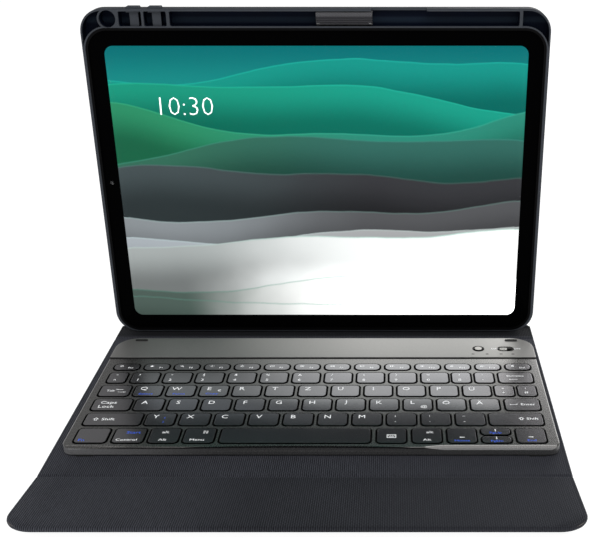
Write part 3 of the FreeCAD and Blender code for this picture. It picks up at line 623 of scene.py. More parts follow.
def u_panel(name, y_open, y_end, R, hx, zt, zb, mat, place, press=None, cols=24):
    """Covered panel open at y_open, with rounded corners of radius R and a turned edge at y_end.
    press = (y, half width, depth) is a line pressed across the upper side."""
    sg = 1.0 if y_end > y_open else -1.0
    h = (zt - zb) / 2
    zc = (zt + zb) / 2
    d0 = SEAM + 0.16
    yc = y_end - sg * R
    straight = 10
    rows = []                                   # (kind, value): straight y or arc angle
    for i in range(straight):
        rows.append(("y", y_open + (yc - y_open) * i / straight))
    angles = [PI / 2 * i / 12 for i in range(13)]
    lines = []
    if press:
        for k in (-1.0, -0.55, -0.25, 0.0, 0.25, 0.55, 1.0):
            lines.append(press[0] + sg * k * press[1])
        for yl in lines:
            q = (yl - yc) * sg / (R - d0)
            if 0 < q < 1:
                angles.append(math.asin(q))
            elif q <= 0:
                rows.append(("y", yl))
        angles = sorted(set(angles))
        rows.sort(key=lambda r: sg * r[1])
    rows += [("a", a) for a in angles]

    def at(row, d):
        kind, v = row
        if kind == "y":
            return hx - d, v
        return hx - R + (R - d) * math.cos(v), yc + sg * (R - d) * math.sin(v)

    def dip(y):
        if not press:
            return 0.0
        q = abs(y - press[0]) / press[1]
        return -press[2] * (1 - q * q) ** 2 if q < 1 else 0.0

    verts, uvs, faces = [], [], []

    def grid(d, z, top):
        base = len(verts)
        for row in rows:
            x, y = at(row, d)
            for j in range(cols + 1):
                xx = -x + 2 * x * j / cols
                verts.append(place(xx, y, z + (dip(y) if top else 0.0)))
                uvs.append((xx * MM, y * MM) if top else (xx * MM + 0.5, y * MM))
        for i in range(len(rows) - 1):
            for j in range(cols):
                a = base + i * (cols + 1) + j
                faces.append((a, a + 1, a + cols + 2, a + cols + 1))
        ring = [base + i * (cols + 1) for i in range(len(rows))]
        ring += [base + (len(rows) - 1) * (cols + 1) + j for j in range(1, cols)]
        ring += [base + i * (cols + 1) + cols for i in reversed(range(len(rows)))]
        return ring

    # points of the open outline with their outward directions
    def outline(d):
        pts = []
        for row in rows:
            x, y = at(row, d)
            a = 0.0 if row[0] == "y" else row[1]
            pts.append((-x, y, -math.cos(a), sg * math.sin(a)))
        x, y = at(rows[-1], d)
        for j in range(1, cols):
            pts.append((-x + 2 * x * j / cols, y, 0.0, sg))
        for row in reversed(rows):
            x, y = at(row, d)
            a = 0.0 if row[0] == "y" else row[1]
            pts.append((x, y, math.cos(a), sg * math.sin(a)))
        return pts

    prof = [(SEAM, zt - SEAM_D), (SEAM - 0.16, zt), (h, zt)]
    for i in range(1, 10):
        a = PI * i / 10
        prof.append((h * (1 - math.sin(a)), zc + h * math.cos(a)))
    prev = grid(d0, zt, True)
    first = outline(d0)
    run, last = 0.0, (d0, zt)
    rings = [prev]
    for d, z in prof:
        run += math.hypot(d - last[0], z - last[1])
        last = (d, z)
        base = len(verts)
        for (x, y, nx, ny), (x0, y0, _, _) in zip(outline(d), first):
            verts.append(place(x, y, z))
            uvs.append(((x0 + nx * run) * MM, (y0 + ny * run) * MM))
        ring = list(range(base, len(verts)))
        for a, b, c, e in zip(prev, prev[1:], ring[1:], ring):
            faces.append((a, b, c, e))
        prev = ring
        rings.append(ring)
    under = grid(h, zb, False)
    for a, b, c, e in zip(prev, prev[1:], under[1:], under):
        faces.append((a, b, c, e))
    rings.append(under)
    # closing wall at the open end, on points of its own
    n = cols + 1
    loop = [j for j in range(n)]
    loop += [r[-1] for r in rings[1:-1]]
    ub = under[0]
    loop += [ub + j for j in reversed(range(n))]
    loop += [r[0] for r in reversed(rings[1:-1])]
    b = len(verts)
    for k in loop:
        verts.append(verts[k])
        uvs.append(uvs[k])
    faces.append(tuple(range(b, b + len(loop))))
    return make(name, verts, faces, mat, uvs)


def smoothstep(t):
    t = min(max(t, 0.0), 1.0)
    return t * t * (3 - 2 * t)


# ---------------------------------------------------------------- covered panels
HX = 126.25
T = 2.5
FOLD_F = (-57.3, 1.25)
FOLD_1 = (87.3, 1.25)
FOLD_2 = (105.2, 2.0)
FOLD_3 = (105.2, 118.0)
RISE = math.radians(8.0)


def flat(x, y, z):
    return (x, y, z)


def raised(x, y, z, share=1.0):
    a = -RISE * share
    dy, dz = y - FOLD_F[0], z - FOLD_F[1]
    return (x, FOLD_F[0] + dy * math.cos(a) - dz * math.sin(a), FOLD_F[1] + dy * math.sin(a) + dz * math.cos(a))


base_rows = [(y, T, 0.0, HX) for y in [-55.7 + (85.7 + 55.7) * i / 14 for i in range(15)]]
base_cover = loft("base_cover", base_rows, "fabric", flat)
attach(base_cover, "base")
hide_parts("base_outer_skin", "base_inner_skin")

flap_cover = u_panel("flap_cover", -58.9, -106.3, 14.0, HX, T, 0.0, "flap", raised)
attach(flap_cover, "flap")
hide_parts("flap_outer_skin", "flap_inner_skin")


def front_web():
    rows = []
    y0, y1 = -55.7, -58.9
    n = 16
    out = []
    for i in range(n + 1):
        t = i / n
        y = y0 + (y1 - y0) * t
        k = max(0.0, 1 - (abs(t - 0.5) / 0.5) ** 2) ** 2
        out.append((y, T - 0.55 * k, 0.28 * k, HX))

    def place(x, y, z):
        return raised(x, y, z, smoothstep((y0 - y) / (y0 - y1)))

    return loft("front_fold", out, "fabric", place, caps=(False, False))


front_fold = front_web()
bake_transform(front_fold)

spine_rows = [(y, T, 0.0, HX) for y in (88.9, 92.0, 96.0, 100.0, 103.0, 104.4)]
spine_cover = loft("spine_cover", spine_rows, "spine", flat)
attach(spine_cover, "spine")
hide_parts("spine_outer_skin", "spine_inner_skin")


def rear_web():
    out = []
    y0, y1 = 85.7, 88.9
    n = 14
    for i in range(n + 1):
        t = i / n
        k = max(0.0, 1 - (abs(t - 0.5) / 0.5) ** 2) ** 2
        out.append((y0 + (y1 - y0) * t, T - 0.6 * k, 0.25 * k, HX))
    return loft("rear_fold", out, "fabric", flat, caps=(False, False))


rear_fold = rear_web()
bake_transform(rear_fold)

# the covering runs round the rear edge of the spine and up behind the tray
UX = 125.8


def strip_sheet(name, line, hx, thick, mat, cols=40):
    """Sheet with the cross line given as (y, z) points in mm, thickness to the left of its travel."""
    n = len(line)
    norm = []
    for i in range(n):
        a = line[max(i - 1, 0)]
        b = line[min(i + 1, n - 1)]
        ty, tz = b[0] - a[0], b[1] - a[1]
        l = math.hypot(ty, tz) or 1.0
        norm.append((-tz / l, ty / l))
    run = [0.0]
    for a, b in zip(line, line[1:]):
        run.append(run[-1] + math.hypot(b[0] - a[0], b[1] - a[1]))
    verts, uvs, faces = [], [], []
    for side in (0, 1):
        for i in range(n):
            y = line[i][0] + norm[i][0] * thick * side
            z = line[i][1] + norm[i][1] * thick * side
            for j in range(cols + 1):
                x = -hx + 2 * hx * j / cols
                verts.append((x, y, z))
                uvs.append((x * MM, run[i] * MM))
    m = cols + 1
    for side in (0, 1):
        o = side * n * m
        for i in range(n - 1):
            for j in range(cols):
                a = o + i * m + j
                faces.append((a, a + 1, a + m + 1, a + m))
    o = n * m
    for i in range(n - 1):
        a = i * m
        faces.append((a, a + m, o + a + m, o + a))
        a = i * m + cols
        faces.append((a, a + m, o + a + m, o + a))
    for j in range(cols):
        faces.append((j, j + 1, o + j + 1, o + j))
        a = (n - 1) * m + j
        faces.append((a, a + 1, o + a + 1, o + a))
    return make(name, verts, faces, mat, uvs)


def curve_points(ctrl, per=6):
    """Smooth run through the control points."""
    pts = []
    n = len(ctrl)
    for i in range(n - 1):
        p0 = ctrl[max(i - 1, 0)]
        p1, p2 = ctrl[i], ctrl[i + 1]
        p3 = ctrl[min(i + 2, n - 1)]
        for k in range(per):
            t = k / per
            q = []
            for a, b, c, d in zip(p0, p1, p2, p3):
                q.append(0.5 * ((2 * b) + (c - a) * t + (2 * a - 5 * b + 4 * c - d) * t * t + (3 * b - a - 3 * c + d) * t ** 3))
            pts.append(tuple(q))
    pts.append(ctrl[-1])
    return pts


back_line = curve_points([(103.6, 0.02), (104.8, 0.10), (105.6, 0.55), (105.92, 1.3), (105.72, 2.2), (105.05, 2.75), (104.0, 2.86), (103.0, 2.88)])
back_fold = strip_sheet("back_fold", back_line, 124.6, 0.32, "fabric")
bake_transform(back_fold)


# ---------------------------------------------------------------- back panel and stand leg
def on_leg(x, y, z):
    return (x, 104.5 + z, y)


leg_cover = u_panel("leg_cover", 117.0, 3.4, 12.5, UX, 1.5, 0.0, "rear", on_leg)
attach(leg_cover, "stand_leg")
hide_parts("leg_outer_skin", "leg_inner_skin")


def on_back(x, y, z):
    return (x, 104.3 + z, y)


back_cover = u_panel("back_cover", 119.0, 192.9, 12.1, UX, 1.7, 0.0, "rear", on_back)


def camera_cutter():
    cx, cz, half, r = -105.5, 165.5, 12.0, 7.0
    prof = [(103.0, 0.0), (105.3, 0.0)]
    for i in range(1, 7):
        a = PI / 2 * i / 6
        prof.append((105.3 + 0.7 * math.sin(a), 0.7 * (1 - math.cos(a))))
    prof.append((107.0, 0.7))
    verts, faces = [], []
    m = None
    for y, grow in prof:
        ring = []
        for qx, qz, st in ((1, 1, 0), (-1, 1, 90), (-1, -1, 180), (1, -1, 270)):
            for k in range(9):
                a = math.radians(st + 90 * k / 8)
                ring.append((cx + qx * (half - r) + (r + grow) * math.cos(a), y, cz + qz * (half - r) + (r + grow) * math.sin(a)))
        m = len(ring)
        verts += ring
    for i in range(len(prof) - 1):
        for j in range(m):
            a, b = i * m + j, i * m + (j + 1) % m
            faces.append((a, b, b + m, a + m))
    faces.append(tuple(range(m)))
    faces.append(tuple(range((len(prof) - 1) * m, len(prof) * m)))
    return make("cutter", verts, faces, "fabric")


cut = camera_cutter()
mod = back_cover.modifiers.new("window", "BOOLEAN")
mod.operation = "DIFFERENCE"
mod.solver = "EXACT"
mod.object = cut
bpy.context.view_layer.update()
done = bpy.data.meshes.new_from_object(back_cover.evaluated_get(bpy.context.evaluated_depsgraph_get()))
back_cover.modifiers.clear()
back_cover.data = done
done.set_sharp_from_angle(angle=math.radians(40))
bpy.data.objects.remove(cut)
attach(back_cover, "tray")
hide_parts("back_outer_skin")


def leg_web():
    n = 12
    line = []
    for i in range(n + 1):
        t = i / n
        k = max(0.0, 1 - (abs(t - 0.5) / 0.5) ** 2) ** 2
        line.append((106.0 - 0.5 * k, 119.6 - 3.2 * t))
    return strip_sheet("leg_fold_cover", line, UX - 0.3, -0.4, "rear")


leg_web_ob = leg_web()
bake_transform(leg_web_ob)


# ---------------------------------------------------------------- elastic loop for the stylus
def elastic_material(name):
    g = Graph(name)
    uv = g.coord("UV")
    u, v, _ = g.xyz(uv)
    x, y, z = g.xyz(g.coord("Object"))
    cord_u = g.math("SINE", g.mul(u, PI / (0.82 * MM)))
    row = g.math("SINE", g.mul(v, 2 * PI / (1.12 * MM)))
    rows = g.smooth(row, -0.5, 0.7)
    dash = g.smooth(g.mul(cord_u, row), -0.5, 0.6)
    fib = g.noise(g.scaled(uv, 5200, 3000, 1), 1.0, 3.0, 0.6)
    # painted highlight: the band's upper part, above about 189.4 mm, is drawn lighter
    crown = g.smooth(z, 0.18935, 0.18985)
    low = g.add(g.mul(rows, 0.30), g.mul(dash, 0.10))
    high = g.add(0.50, g.mul(dash, 0.50))
    mixn = g.node("ShaderNodeMix", data_type="FLOAT")
    g.put(mixn.inputs[0], crown)
    g.put(mixn.inputs[2], low)
    g.put(mixn.inputs[3], high)
    tone = g.add(mixn.outputs[0], g.mul(g.sub(fib, 0.5), 0.45))
    c = g.mix(g.smooth(tone, 0.0, 1.0, kind="LINEAR"), col(0.004, 0.004, 0.0065), col(0.090, 0.089, 0.096))
    height = g.add(g.add(g.mul(rows, 0.6), g.mul(dash, 0.4)), g.mul(fib, 0.3))
    p = g.principled(Base_Color=c, Roughness=0.78, Normal=g.bump(height, 0.9, 0.00022))
    p.inputs["Specular IOR Level"].default_value = 0.25
    p.inputs["Sheen Weight"].default_value = 0.10
    p.inputs["Sheen Roughness"].default_value = 0.4
    return g.done(p)


M["elastic"] = elastic_material("woven_elastic")


def elastic_loop():
    ctrl = [(102.55, 191.55), (100.2, 191.72), (97.8, 191.75), (96.2, 191.60), (95.25, 190.9), (95.0, 189.6), (95.1, 187.8), (95.5, 186.0), (96.5, 185.0), (98.2, 184.72), (100.2, 184.68), (102.55, 184.85)]
    line = curve_points(ctrl, 6)
    x0, x1 = 0.2, 30.6
    thick = 0.55
    n = len(line)
    norm = []
    for i in range(n):
        a, b = line[max(i - 1, 0)], line[min(i + 1, n - 1)]
        ty, tz = b[0] - a[0], b[1] - a[1]
        l = math.hypot(ty, tz) or 1.0
        norm.append((tz / l, -ty / l))
    run = [0.0]
    for a, b in zip(line, line[1:]):
        run.append(run[-1] + math.hypot(b[0] - a[0], b[1] - a[1]))
    # the band's own cross-section: flat with rounded selvages
    half = (x1 - x0) / 2
    xc = (x0 + x1) / 2
    prof = []
    cols = 40
    for j in range(cols + 1):
        prof.append((-half + 0.3 + (2 * half - 0.6) * j / cols, thick))
    for k in range(1, 6):
        a = PI * k / 6
        prof.append((half - 0.3 + 0.3 * math.sin(a), thick / 2 + thick / 2 * math.cos(a)))
    for j in range(cols + 1):
        prof.append((half - 0.3 - (2 * half - 0.6) * j / cols, 0.0))
    for k in range(1, 6):
        a = PI * k / 6
        prof.append((-half + 0.3 - 0.3 * math.sin(a), thick / 2 - thick / 2 * math.cos(a)))
    m = len(prof)
    verts, uvs, faces = [], [], []
    for i in range(n):
        for dx, off in prof:
            # the band pulls in a little where nothing holds it
            pull = 1.0 - 0.012 * math.sin(PI * i / (n - 1))
            verts.append((xc + dx * pull, line[i][0] - norm[i][0] * (thick - off), line[i][1] - norm[i][1] * (thick - off)))
            uvs.append((dx * MM, run[i] * MM))
    for i in range(n - 1):
        for j in range(m):
            a, b = i * m + j, i * m + (j + 1) % m
            faces.append((a, b, b + m, a + m))
    faces.append(tuple(range(m)))
    faces.append(tuple(range((n - 1) * m, n * m)))
    return make("elastic_band", verts, faces, "elastic", uvs)


band = elastic_loop()
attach(band, "tray")
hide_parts("pencil_loop")


def thread(name, runs, r, mat, body):
    """Short rounded stitches between pairs of points, in mm."""
    verts, faces = [], []
    for a, b in runs:
        a, b = Vector(a), Vector(b)
        d = (b - a).normalized()
        side = d.orthogonal().normalized()
        other = d.cross(side)
        rings = []
        stations = [(-1.0, 0.05), (-0.92, 0.6), (-0.7, 0.95), (0.0, 1.0), (0.7, 0.95), (0.92, 0.6), (1.0, 0.05)]
        half = (b - a) / 2
        mid = (a + b) / 2
        for s, k in stations:
            base = len(verts)
            for q in range(8):
                t = 2 * PI * q / 8
                p = mid + half * s + (side * math.cos(t) + other * math.sin(t)) * r * k
                verts.append(tuple(p))
            rings.append(base)
        for i in range(len(rings) - 1):
            for q in range(8):
                faces.append((rings[i] + q, rings[i] + (q + 1) % 8, rings[i + 1] + (q + 1) % 8, rings[i + 1] + q))
        faces.append(tuple(range(rings[0], rings[0] + 8)))
        faces.append(tuple(range(rings[-1], rings[-1] + 8)))
    ob = make(name, verts, faces, mat)
    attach(ob, body)
    return ob


M["thread"] = plain("pale_thread", (0.30, 0.30, 0.30), 0.7, 0.0, scale=2500.0)
tacks = []
for sx in (1.5, 29.3):
    for i in range(3):
        x = sx + (-0.55 + 0.55 * i)
        tacks.append(((x - 0.18, 95.44, 186.25), (x + 0.18, 96.02, 185.40)))
thread("loop_stitches", tacks, 0.14, "thread", "tray")


# ---------------------------------------------------------------- key legends
KB_X = 1.7
ROW_Y = {1: (44.4, 36.6), 2: (34.2, 22.0), 3: (19.8, 7.6), 4: (5.4, -7.0), 5: (-9.2, -21.5), 6: (-23.8, -37.6)}
PRINT_Z = 8.1 + 0.012
prints = {}


def glyphs(text, size, wide=1.12, thin=0.0):
    cu = bpy.data.curves.new("glyph", "FONT")
    cu.offset = -thin * MM
    cu.body = text
    cu.size = size * MM * 1.38
    cu.align_x = "CENTER"
    cu.align_y = "CENTER"
    cu.resolution_u = 2
    ob = bpy.data.objects.new("glyph", cu)
    bpy.context.scene.collection.objects.link(ob)
    bpy.context.view_layer.update()
    me = bpy.data.meshes.new_from_object(ob.evaluated_get(bpy.context.evaluated_depsgraph_get()))
    bpy.data.objects.remove(ob)
    bpy.data.curves.remove(cu)
    vs = [v.co.copy() for v in me.vertices]
    fs = [tuple(p.vertices) for p in me.polygons]
    bpy.data.meshes.remove(me)
    if not vs:
        return [], []
    lo = Vector((min(v.x for v in vs), min(v.y for v in vs), 0))
    hi = Vector((max(v.x for v in vs), max(v.y for v in vs), 0))
    mid = (lo + hi) / 2
    return [((v.x - mid.x) * wide / MM, (v.y - mid.y) / MM) for v in vs], fs


def mark(body, colour, cx, w, row, text, fx, fy, size, wide=1.12, rear=None, front=None):
    """text with its middle at the share fx of the cap's width from its left and fy of its depth from its rear."""
    y1, y0 = ROW_Y[row]
    y1 = y1 if rear is None else rear
    y0 = y0 if front is None else front
    vs, fs = glyphs(text, size, wide)
    shape(body, colour, cx + KB_X - w / 2 + w * fx, y1 - (y1 - y0) * fy, vs, fs)


def shape(body, colour, x, y, vs, fs):
    verts, faces = prints.setdefault((body, colour), ([], []))
    b = len(verts)
    verts += [(x + a, y + c, PRINT_Z) for a, c in vs]
    faces += [tuple(b + i for i in f) for f in fs]


def ring_shape(r, t, n=20):
    vs, fs = [], []
    for i in range(n):
        a = 2 * PI * i / n
        vs += [(r * math.cos(a), r * math.sin(a)), ((r - t) * math.cos(a), (r - t) * math.sin(a))]
    for i in range(n):
        a, b = 2 * i, 2 * ((i + 1) % n)
        fs.append((a, b, b + 1, a + 1))
    return vs, fs


def poly(*pts):
    return list(pts), [tuple(range(len(pts)))]


def merge(*shapes):
    vs, fs = [], []
    for v, f in shapes:
        b = len(vs)
        vs += v
        fs += [tuple(b + i for i in q) for q in f]
    return vs, fs


def bar(x0, y0, x1, y1):
    return poly((x0, y0), (x1, y0), (x1, y1), (x0, y1))


def moved(s, dx, dy):
    return [(a + dx, b + dy) for a, b in s[0]], s[1]


def outline_box(w, h, t):
    return merge(bar(-w / 2, -h / 2, w / 2, -h / 2 + t), bar(-w / 2, h / 2 - t, w / 2, h / 2), bar(-w / 2, -h / 2 + t, -w / 2 + t, h / 2 - t), bar(w / 2 - t, -h / 2 + t, w / 2, h / 2 - t))


def shift_icon(s=1.0):
    t = 0.34 * s
    outer = [(0, 1.5 * s), (1.6 * s, 0), (0.75 * s, 0), (0.75 * s, -1.3 * s), (-0.75 * s, -1.3 * s), (-0.75 * s, 0), (-1.6 * s, 0)]
    inner = [(0, 1.0 * s), (0.85 * s, 0.30 * s), (0.42 * s, 0.30 * s), (0.42 * s, -0.95 * s), (-0.42 * s, -0.95 * s), (-0.42 * s, 0.30 * s), (-0.85 * s, 0.30 * s)]
    vs = outer + inner
    n = len(outer)
    fs = [(i, (i + 1) % n, n + (i + 1) % n, n + i) for i in range(n)]
    return vs, fs


def arrow(dx, dy, l=1.5, t=0.24, head=0.75):
    """Thin arrow pointing along (dx, dy)."""
    px, py = -dy, dx
    q = l - head
    pts = [(-l, -t), (q, -t), (q, -head * 0.62), (l, 0), (q, head * 0.62), (q, t), (-l, t)]
    return [(a * dx + b * px, a * dy + b * py) for a, b in pts], [tuple(range(7))]


W, B = "white_ink", "blue_ink"
LET = 3.3

# first row: small pictures with the number of the function key
f_icons = []
sun = lambda r: merge(ring_shape(r, r * 0.35, 12), *[bar(-0.12 + 1.15 * math.cos(a) * 1.0, -0.12 + 1.15 * math.sin(a), 0.12 + 1.15 * math.cos(a), 0.12 + 1.15 * math.sin(a)) for a in [2 * PI * k / 8 for k in range(8)]])
tri = lambda s: poly((-0.7 * s, -0.8), (0.7 * s, 0.0), (-0.7 * s, 0.8))
icons = [
    merge(ring_shape(0.9, 0.3, 14)),
    poly((-1.1, 0.0), (0.0, 0.9), (1.1, 0.0), (0.7, 0.0), (0.7, -0.8), (-0.7, -0.8), (-0.7, 0.0)),
    merge(ring_shape(0.75, 0.28, 14), bar(0.45, -0.95, 1.1, -0.6)),
    sun(0.5),
    sun(0.72),
    outline_box(2.4, 1.5, 0.26),
    merge(bar(-1.1, -0.7, 1.1, -0.42), bar(-1.1, -0.14, 1.1, 0.14), bar(-1.1, 0.42, 1.1, 0.7)),
    merge(moved(tri(-1), -0.65, 0), moved(tri(-1), 0.55, 0)),
    merge(moved(tri(1), -0.6, 0), bar(0.35, -0.8, 0.6, 0.8), bar(0.85, -0.8, 1.1, 0.8)),
    merge(moved(tri(1), -0.65, 0), moved(tri(1), 0.55, 0)),
    merge(moved(tri(-1), -0.3, 0), bar(-1.1, -0.35, -0.3, 0.35), bar(0.7, -0.12, 1.2, 0.12)),
    merge(moved(tri(-1), -0.5, 0), bar(-1.2, -0.35, -0.5, 0.35), bar(0.45, -0.1, 1.05, 0.1)),
    merge(moved(tri(-1), -0.6, 0), bar(-1.3, -0.35, -0.6, 0.35), bar(0.35, -0.1, 1.15, 0.1), bar(0.65, -0.4, 0.85, 0.4)),
    merge(outline_box(1.5, 1.2, 0.26), moved(ring_shape(0.5, 0.2, 12), 0, 0.7)),
]
f_text = ["Esc"] + ["F%d" % i for i in range(1, 13)] + ["Del"]
for i in range(14):
    cx = -108.5 + 16.75 * i
    y1, y0 = ROW_Y[1]
    vs, fs = icons[i]
    shape("keys_function_row", W, cx + KB_X - 7.3 + 14.6 * 0.30, y1 - (y1 - y0) * 0.40, vs, fs)
    mark("keys_function_row", W, cx, 14.6, 1, f_text[i], 0.66, 0.62, 1.5, 1.1)

# numbers
num = [("°", "^")] + list(zip("!\"§$%&/()=", "1234567890")) + [("?", "ß"), ("`", "´")]
nx = [-110.6] + [-95.4 + 17.55 * i for i in range(10)] + [77.0, 89.5]
nw = [10.8] + [15.6] * 10 + [11.1] * 2
for (a, b), cx, w in zip(num, nx, nw):
    fx = 0.27 if w > 12 else 0.42
    mark("keys_number_row", W, cx, w, 2, a, fx, 0.25, 2.2)
    mark("keys_number_row", W, cx, w, 2, b, fx, 0.70, 2.3)
mark("key_backspace", W, 106.6, 19.4, 2, "Backspace", 0.50, 0.36, 1.5)
vs, fs = arrow(-1, 0, 2.4, 0.14, 0.8)
shape("key_backspace", W, 106.6 + KB_X - 1.5, 34.2 - 12.2 * 0.66, vs, fs)

# upper letters
mark("key_tab", W, -108.3, 16.8, 3, "Tab", 0.36, 0.50, 1.9)
shape("key_tab", W, -108.3 + KB_X + 2.4, 19.8 - 12.2 * 0.40, *merge(arrow(-1, 0, 1.7, 0.12, 0.7), bar(-2.1, -0.6, -1.9, 0.6)))
shape("key_tab", W, -108.3 + KB_X + 3.6, 19.8 - 12.2 * 0.62, *merge(arrow(1, 0, 1.7, 0.12, 0.7), bar(1.9, -0.6, 2.1, 0.6)))
for i, ch in enumerate("QWERTZUIOPÜ"):
    cx = -90.6 + 17.5 * i
    mark("keys_upper_row", W, cx, 15.6, 3, ch, 0.33, 0.32, LET)
    if ch == "E":
        mark("keys_upper_row", W, cx, 15.6, 3, "€", 0.68, 0.48, 2.0)
    if ch in "QWE":
        mark("keys_upper_row", B, cx, 15.6, 3, {"Q": "Select", "W": "Paste", "E": "Copy"}[ch], 0.46, 0.77, 1.7, 1.35)
mark("keys_upper_row", W, 99.0, 11.1, 3, "*", 0.45, 0.30, 2.4)
mark("keys_upper_row", W, 99.0, 11.1, 3, "+", 0.45, 0.66, 2.0)
mark("keys_upper_row", W, 111.1, 10.6, 3, "'", 0.45, 0.28, 2.2)
mark("keys_upper_row", W, 111.1, 10.6, 3, "#", 0.45, 0.66, 2.2)

# home row
mark("key_caps_lock", W, -106.2, 20.6, 4, "Caps", 0.40, 0.36, 2.6, 1.2)
mark("key_caps_lock", W, -106.2, 20.6, 4, "Lock", 0.38, 0.66, 2.6, 1.2)
for i, ch in enumerate("ASDFGHJKLÖÄ"):
    cx = -86.9 + 17.44 * i
    mark("keys_home_row", W, cx, 15.6, 4, ch, 0.33, 0.32, LET)
    if ch == "L":
        mark("keys_home_row", W, cx, 15.6, 4, "@", 0.70, 0.68, 2.4)
mark("key_enter", W, 106.9, 18.8, 4, "Enter", 0.66, 0.48, 2.1, 1.2)
shape("key_enter", W, 106.9 + KB_X - 4.6, 5.4 - 12.4 * 0.50, *merge(arrow(-1, 0, 2.0, 0.13, 0.8), bar(1.75, 0.0, 2.0, 1.0)))

# lower letters
shape("key_shift_left", W, -101.7 + KB_X - 14.8 + 29.6 * 0.20, -9.2 - 12.3 * 0.50, *shift_icon(0.95))
mark("key_shift_left", W, -101.7, 29.6, 5, "Shift", 0.41, 0.50, 2.3, 1.2)
for i, ch in enumerate("YXCVBNM"):
    cx = -77.9 + 17.42 * i
    mark("keys_lower_row", W, cx, 15.6, 5, ch, 0.33, 0.30, LET)
    if ch == "Y":
        mark("keys_lower_row", B, cx, 15.6, 5, "‹", 0.62, 0.40, 2.4)
        mark("keys_lower_row", B, cx, 15.6, 5, "›", 0.62, 0.72, 2.4)
for i, (a, b) in enumerate(((";", ","), (":", "."), ("_", "-"))):
    cx = -77.9 + 17.42 * (7 + i)
    mark("keys_lower_row", W, cx, 15.6, 5, a, 0.30, 0.26, 2.2)
    mark("keys_lower_row", W, cx, 15.6, 5, b, 0.30, 0.70, 2.2)
shape("key_shift_right", W, 102.0 + KB_X - 14 + 28 * 0.60, -9.2 - 12.3 * 0.46, *shift_icon(0.95))
mark("key_shift_right", W, 102.0, 28.0, 5, "Shift", 0.80, 0.46, 2.1, 1.2)

# bottom row
mark("keys_left_modifiers", B, -108.1, 16.6, 6, "Fn", 0.24, 0.80, 2.3)
mark("keys_left_modifiers", B, -89.9, 16.0, 6, "Start", 0.60, 0.30, 2.2, 1.2)
mark("keys_left_modifiers", W, -89.9, 16.0, 6, "Control", 0.46, 0.78, 1.9, 1.25)
mark("keys_left_modifiers", W, -72.6, 15.4, 6, "alt", 0.50, 0.28, 2.1, 1.25)
mark("keys_left_modifiers", W, -72.6, 15.4, 6, "Alt", 0.48, 0.78, 1.9, 1.25)
shape("keys_left_modifiers", W, -55.4 + KB_X + 2.6, -23.8 - 13.8 * 0.28, *merge(moved(ring_shape(0.5, 0.22, 10), -0.7, 0.7), moved(ring_shape(0.5, 0.22, 10), 0.7, 0.7), moved(ring_shape(0.5, 0.22, 10), -0.7, -0.7), moved(ring_shape(0.5, 0.22, 10), 0.7, -0.7)))
mark("keys_left_modifiers", W, -55.4, 15.8, 6, "Menu", 0.46, 0.78, 1.9, 1.25)
shape("keys_right_modifiers", W, 39.0 + KB_X, -23.8 - 13.8 * 0.55, *merge(outline_box(4.6, 3.0, 0.36), *[bar(-1.6 + 0.9 * k, 0.25, -1.15 + 0.9 * k, 0.7) for k in range(4)], bar(-1.3, -0.85, 1.3, -0.4)))
mark("keys_right_modifiers", W, 56.4, 15.2, 6, "alt", 0.60, 0.28, 2.1, 1.25)
mark("keys_right_modifiers", W, 56.4, 15.2, 6, "Alt", 0.50, 0.78, 1.9, 1.25)
mid_y = (-23.8 - 37.6) / 2
shape("key_arrow_left", W, 73.6 + KB_X, -23.8 - 13.8 * 0.62, *arrow(-1, 0, 1.3, 0.2, 0.8))
mark("key_arrow_left", B, 73.6, 15.0, 6, "Home", 0.50, 0.83, 1.7, 1.3)
shape("key_arrow_up", W, 90.5 + KB_X, -23.8 - 2.0, *arrow(0, 1, 1.1, 0.2, 0.8))
mark("key_arrow_up", B, 90.5, 15.2, 6, "PgUp", 0.50, 0.72, 1.6, 1.3, front=mid_y + 0.45)
shape("key_arrow_down", W, 90.5 + KB_X, mid_y - 0.45 - 1.9, *arrow(0, -1, 1.1, 0.2, 0.8))
mark("key_arrow_down", B, 90.5, 15.2, 6, "PgDn", 0.50, 0.74, 1.6, 1.3, rear=mid_y - 0.45)
shape("key_arrow_right", W, 107.6 + KB_X, -23.8 - 13.8 * 0.60, *arrow(1, 0, 1.3, 0.2, 0.8))
mark("key_arrow_right", B, 107.6, 15.2, 6, "End", 0.50, 0.82, 1.7, 1.3)

for (body, colour), (verts, faces) in prints.items():
    ob = printed("print_%s_%s" % (colour.split("_")[0], body), verts, faces, colour, (0, 0, -0.03))
    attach(ob, body)

# small print beside the button and the switch, and the ring round the button
prints.clear()
PRINT_Z = 8.4 + 0.012
for x, y, s, t in ((111.2, 61.9, 1.5, "ON"), (98.4, 61.9, 1.5, "OFF")):
    vs, fs = glyphs(t, s, 1.2)
    shape("keyboard", W, x + KB_X, y, vs, fs)


def stadium_ring(w, h, t, n=14):
    vs, fs = [], []
    r = h / 2
    for k in range(2 * n + 2):
        a = -PI / 2 + PI * (k if k <= n else k - 1) / n
        cx = (w / 2 - r) * (1 if k <= n else -1)
        vs += [(cx + r * math.cos(a), r * math.sin(a)), (cx + (r - t) * math.cos(a), (r - t) * math.sin(a))]
    m = 2 * n + 2
    for k in range(m):
        a, b = 2 * k, 2 * ((k + 1) % m)
        fs.append((a, b, b + 1, a + 1))
    return vs, fs


shape("keyboard", "black_ink", 90.6, 61.9, *ring_shape(3.45, 0.52, 40))
shape("keyboard", "black_ink", 106.3, 61.7, *stadium_ring(9.7, 5.7, 0.52))
for (body, colour), (verts, faces) in prints.items():
    ob = printed("print_strip_" + colour.split("_")[0], verts, faces, colour, (0, 0, -0.03))
    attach(ob, body)

# ---------------------------------------------------------------- clock on the screen
vs, fs = glyphs("10:30", 11.0, 1.0, 0.32)
clock = printed("screen_clock", [(-73.0 + a, 97.37, 141.0 + c) for a, c in vs], fs, "clock_ink", (0, 0.03, 0))
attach(clock, "tray")

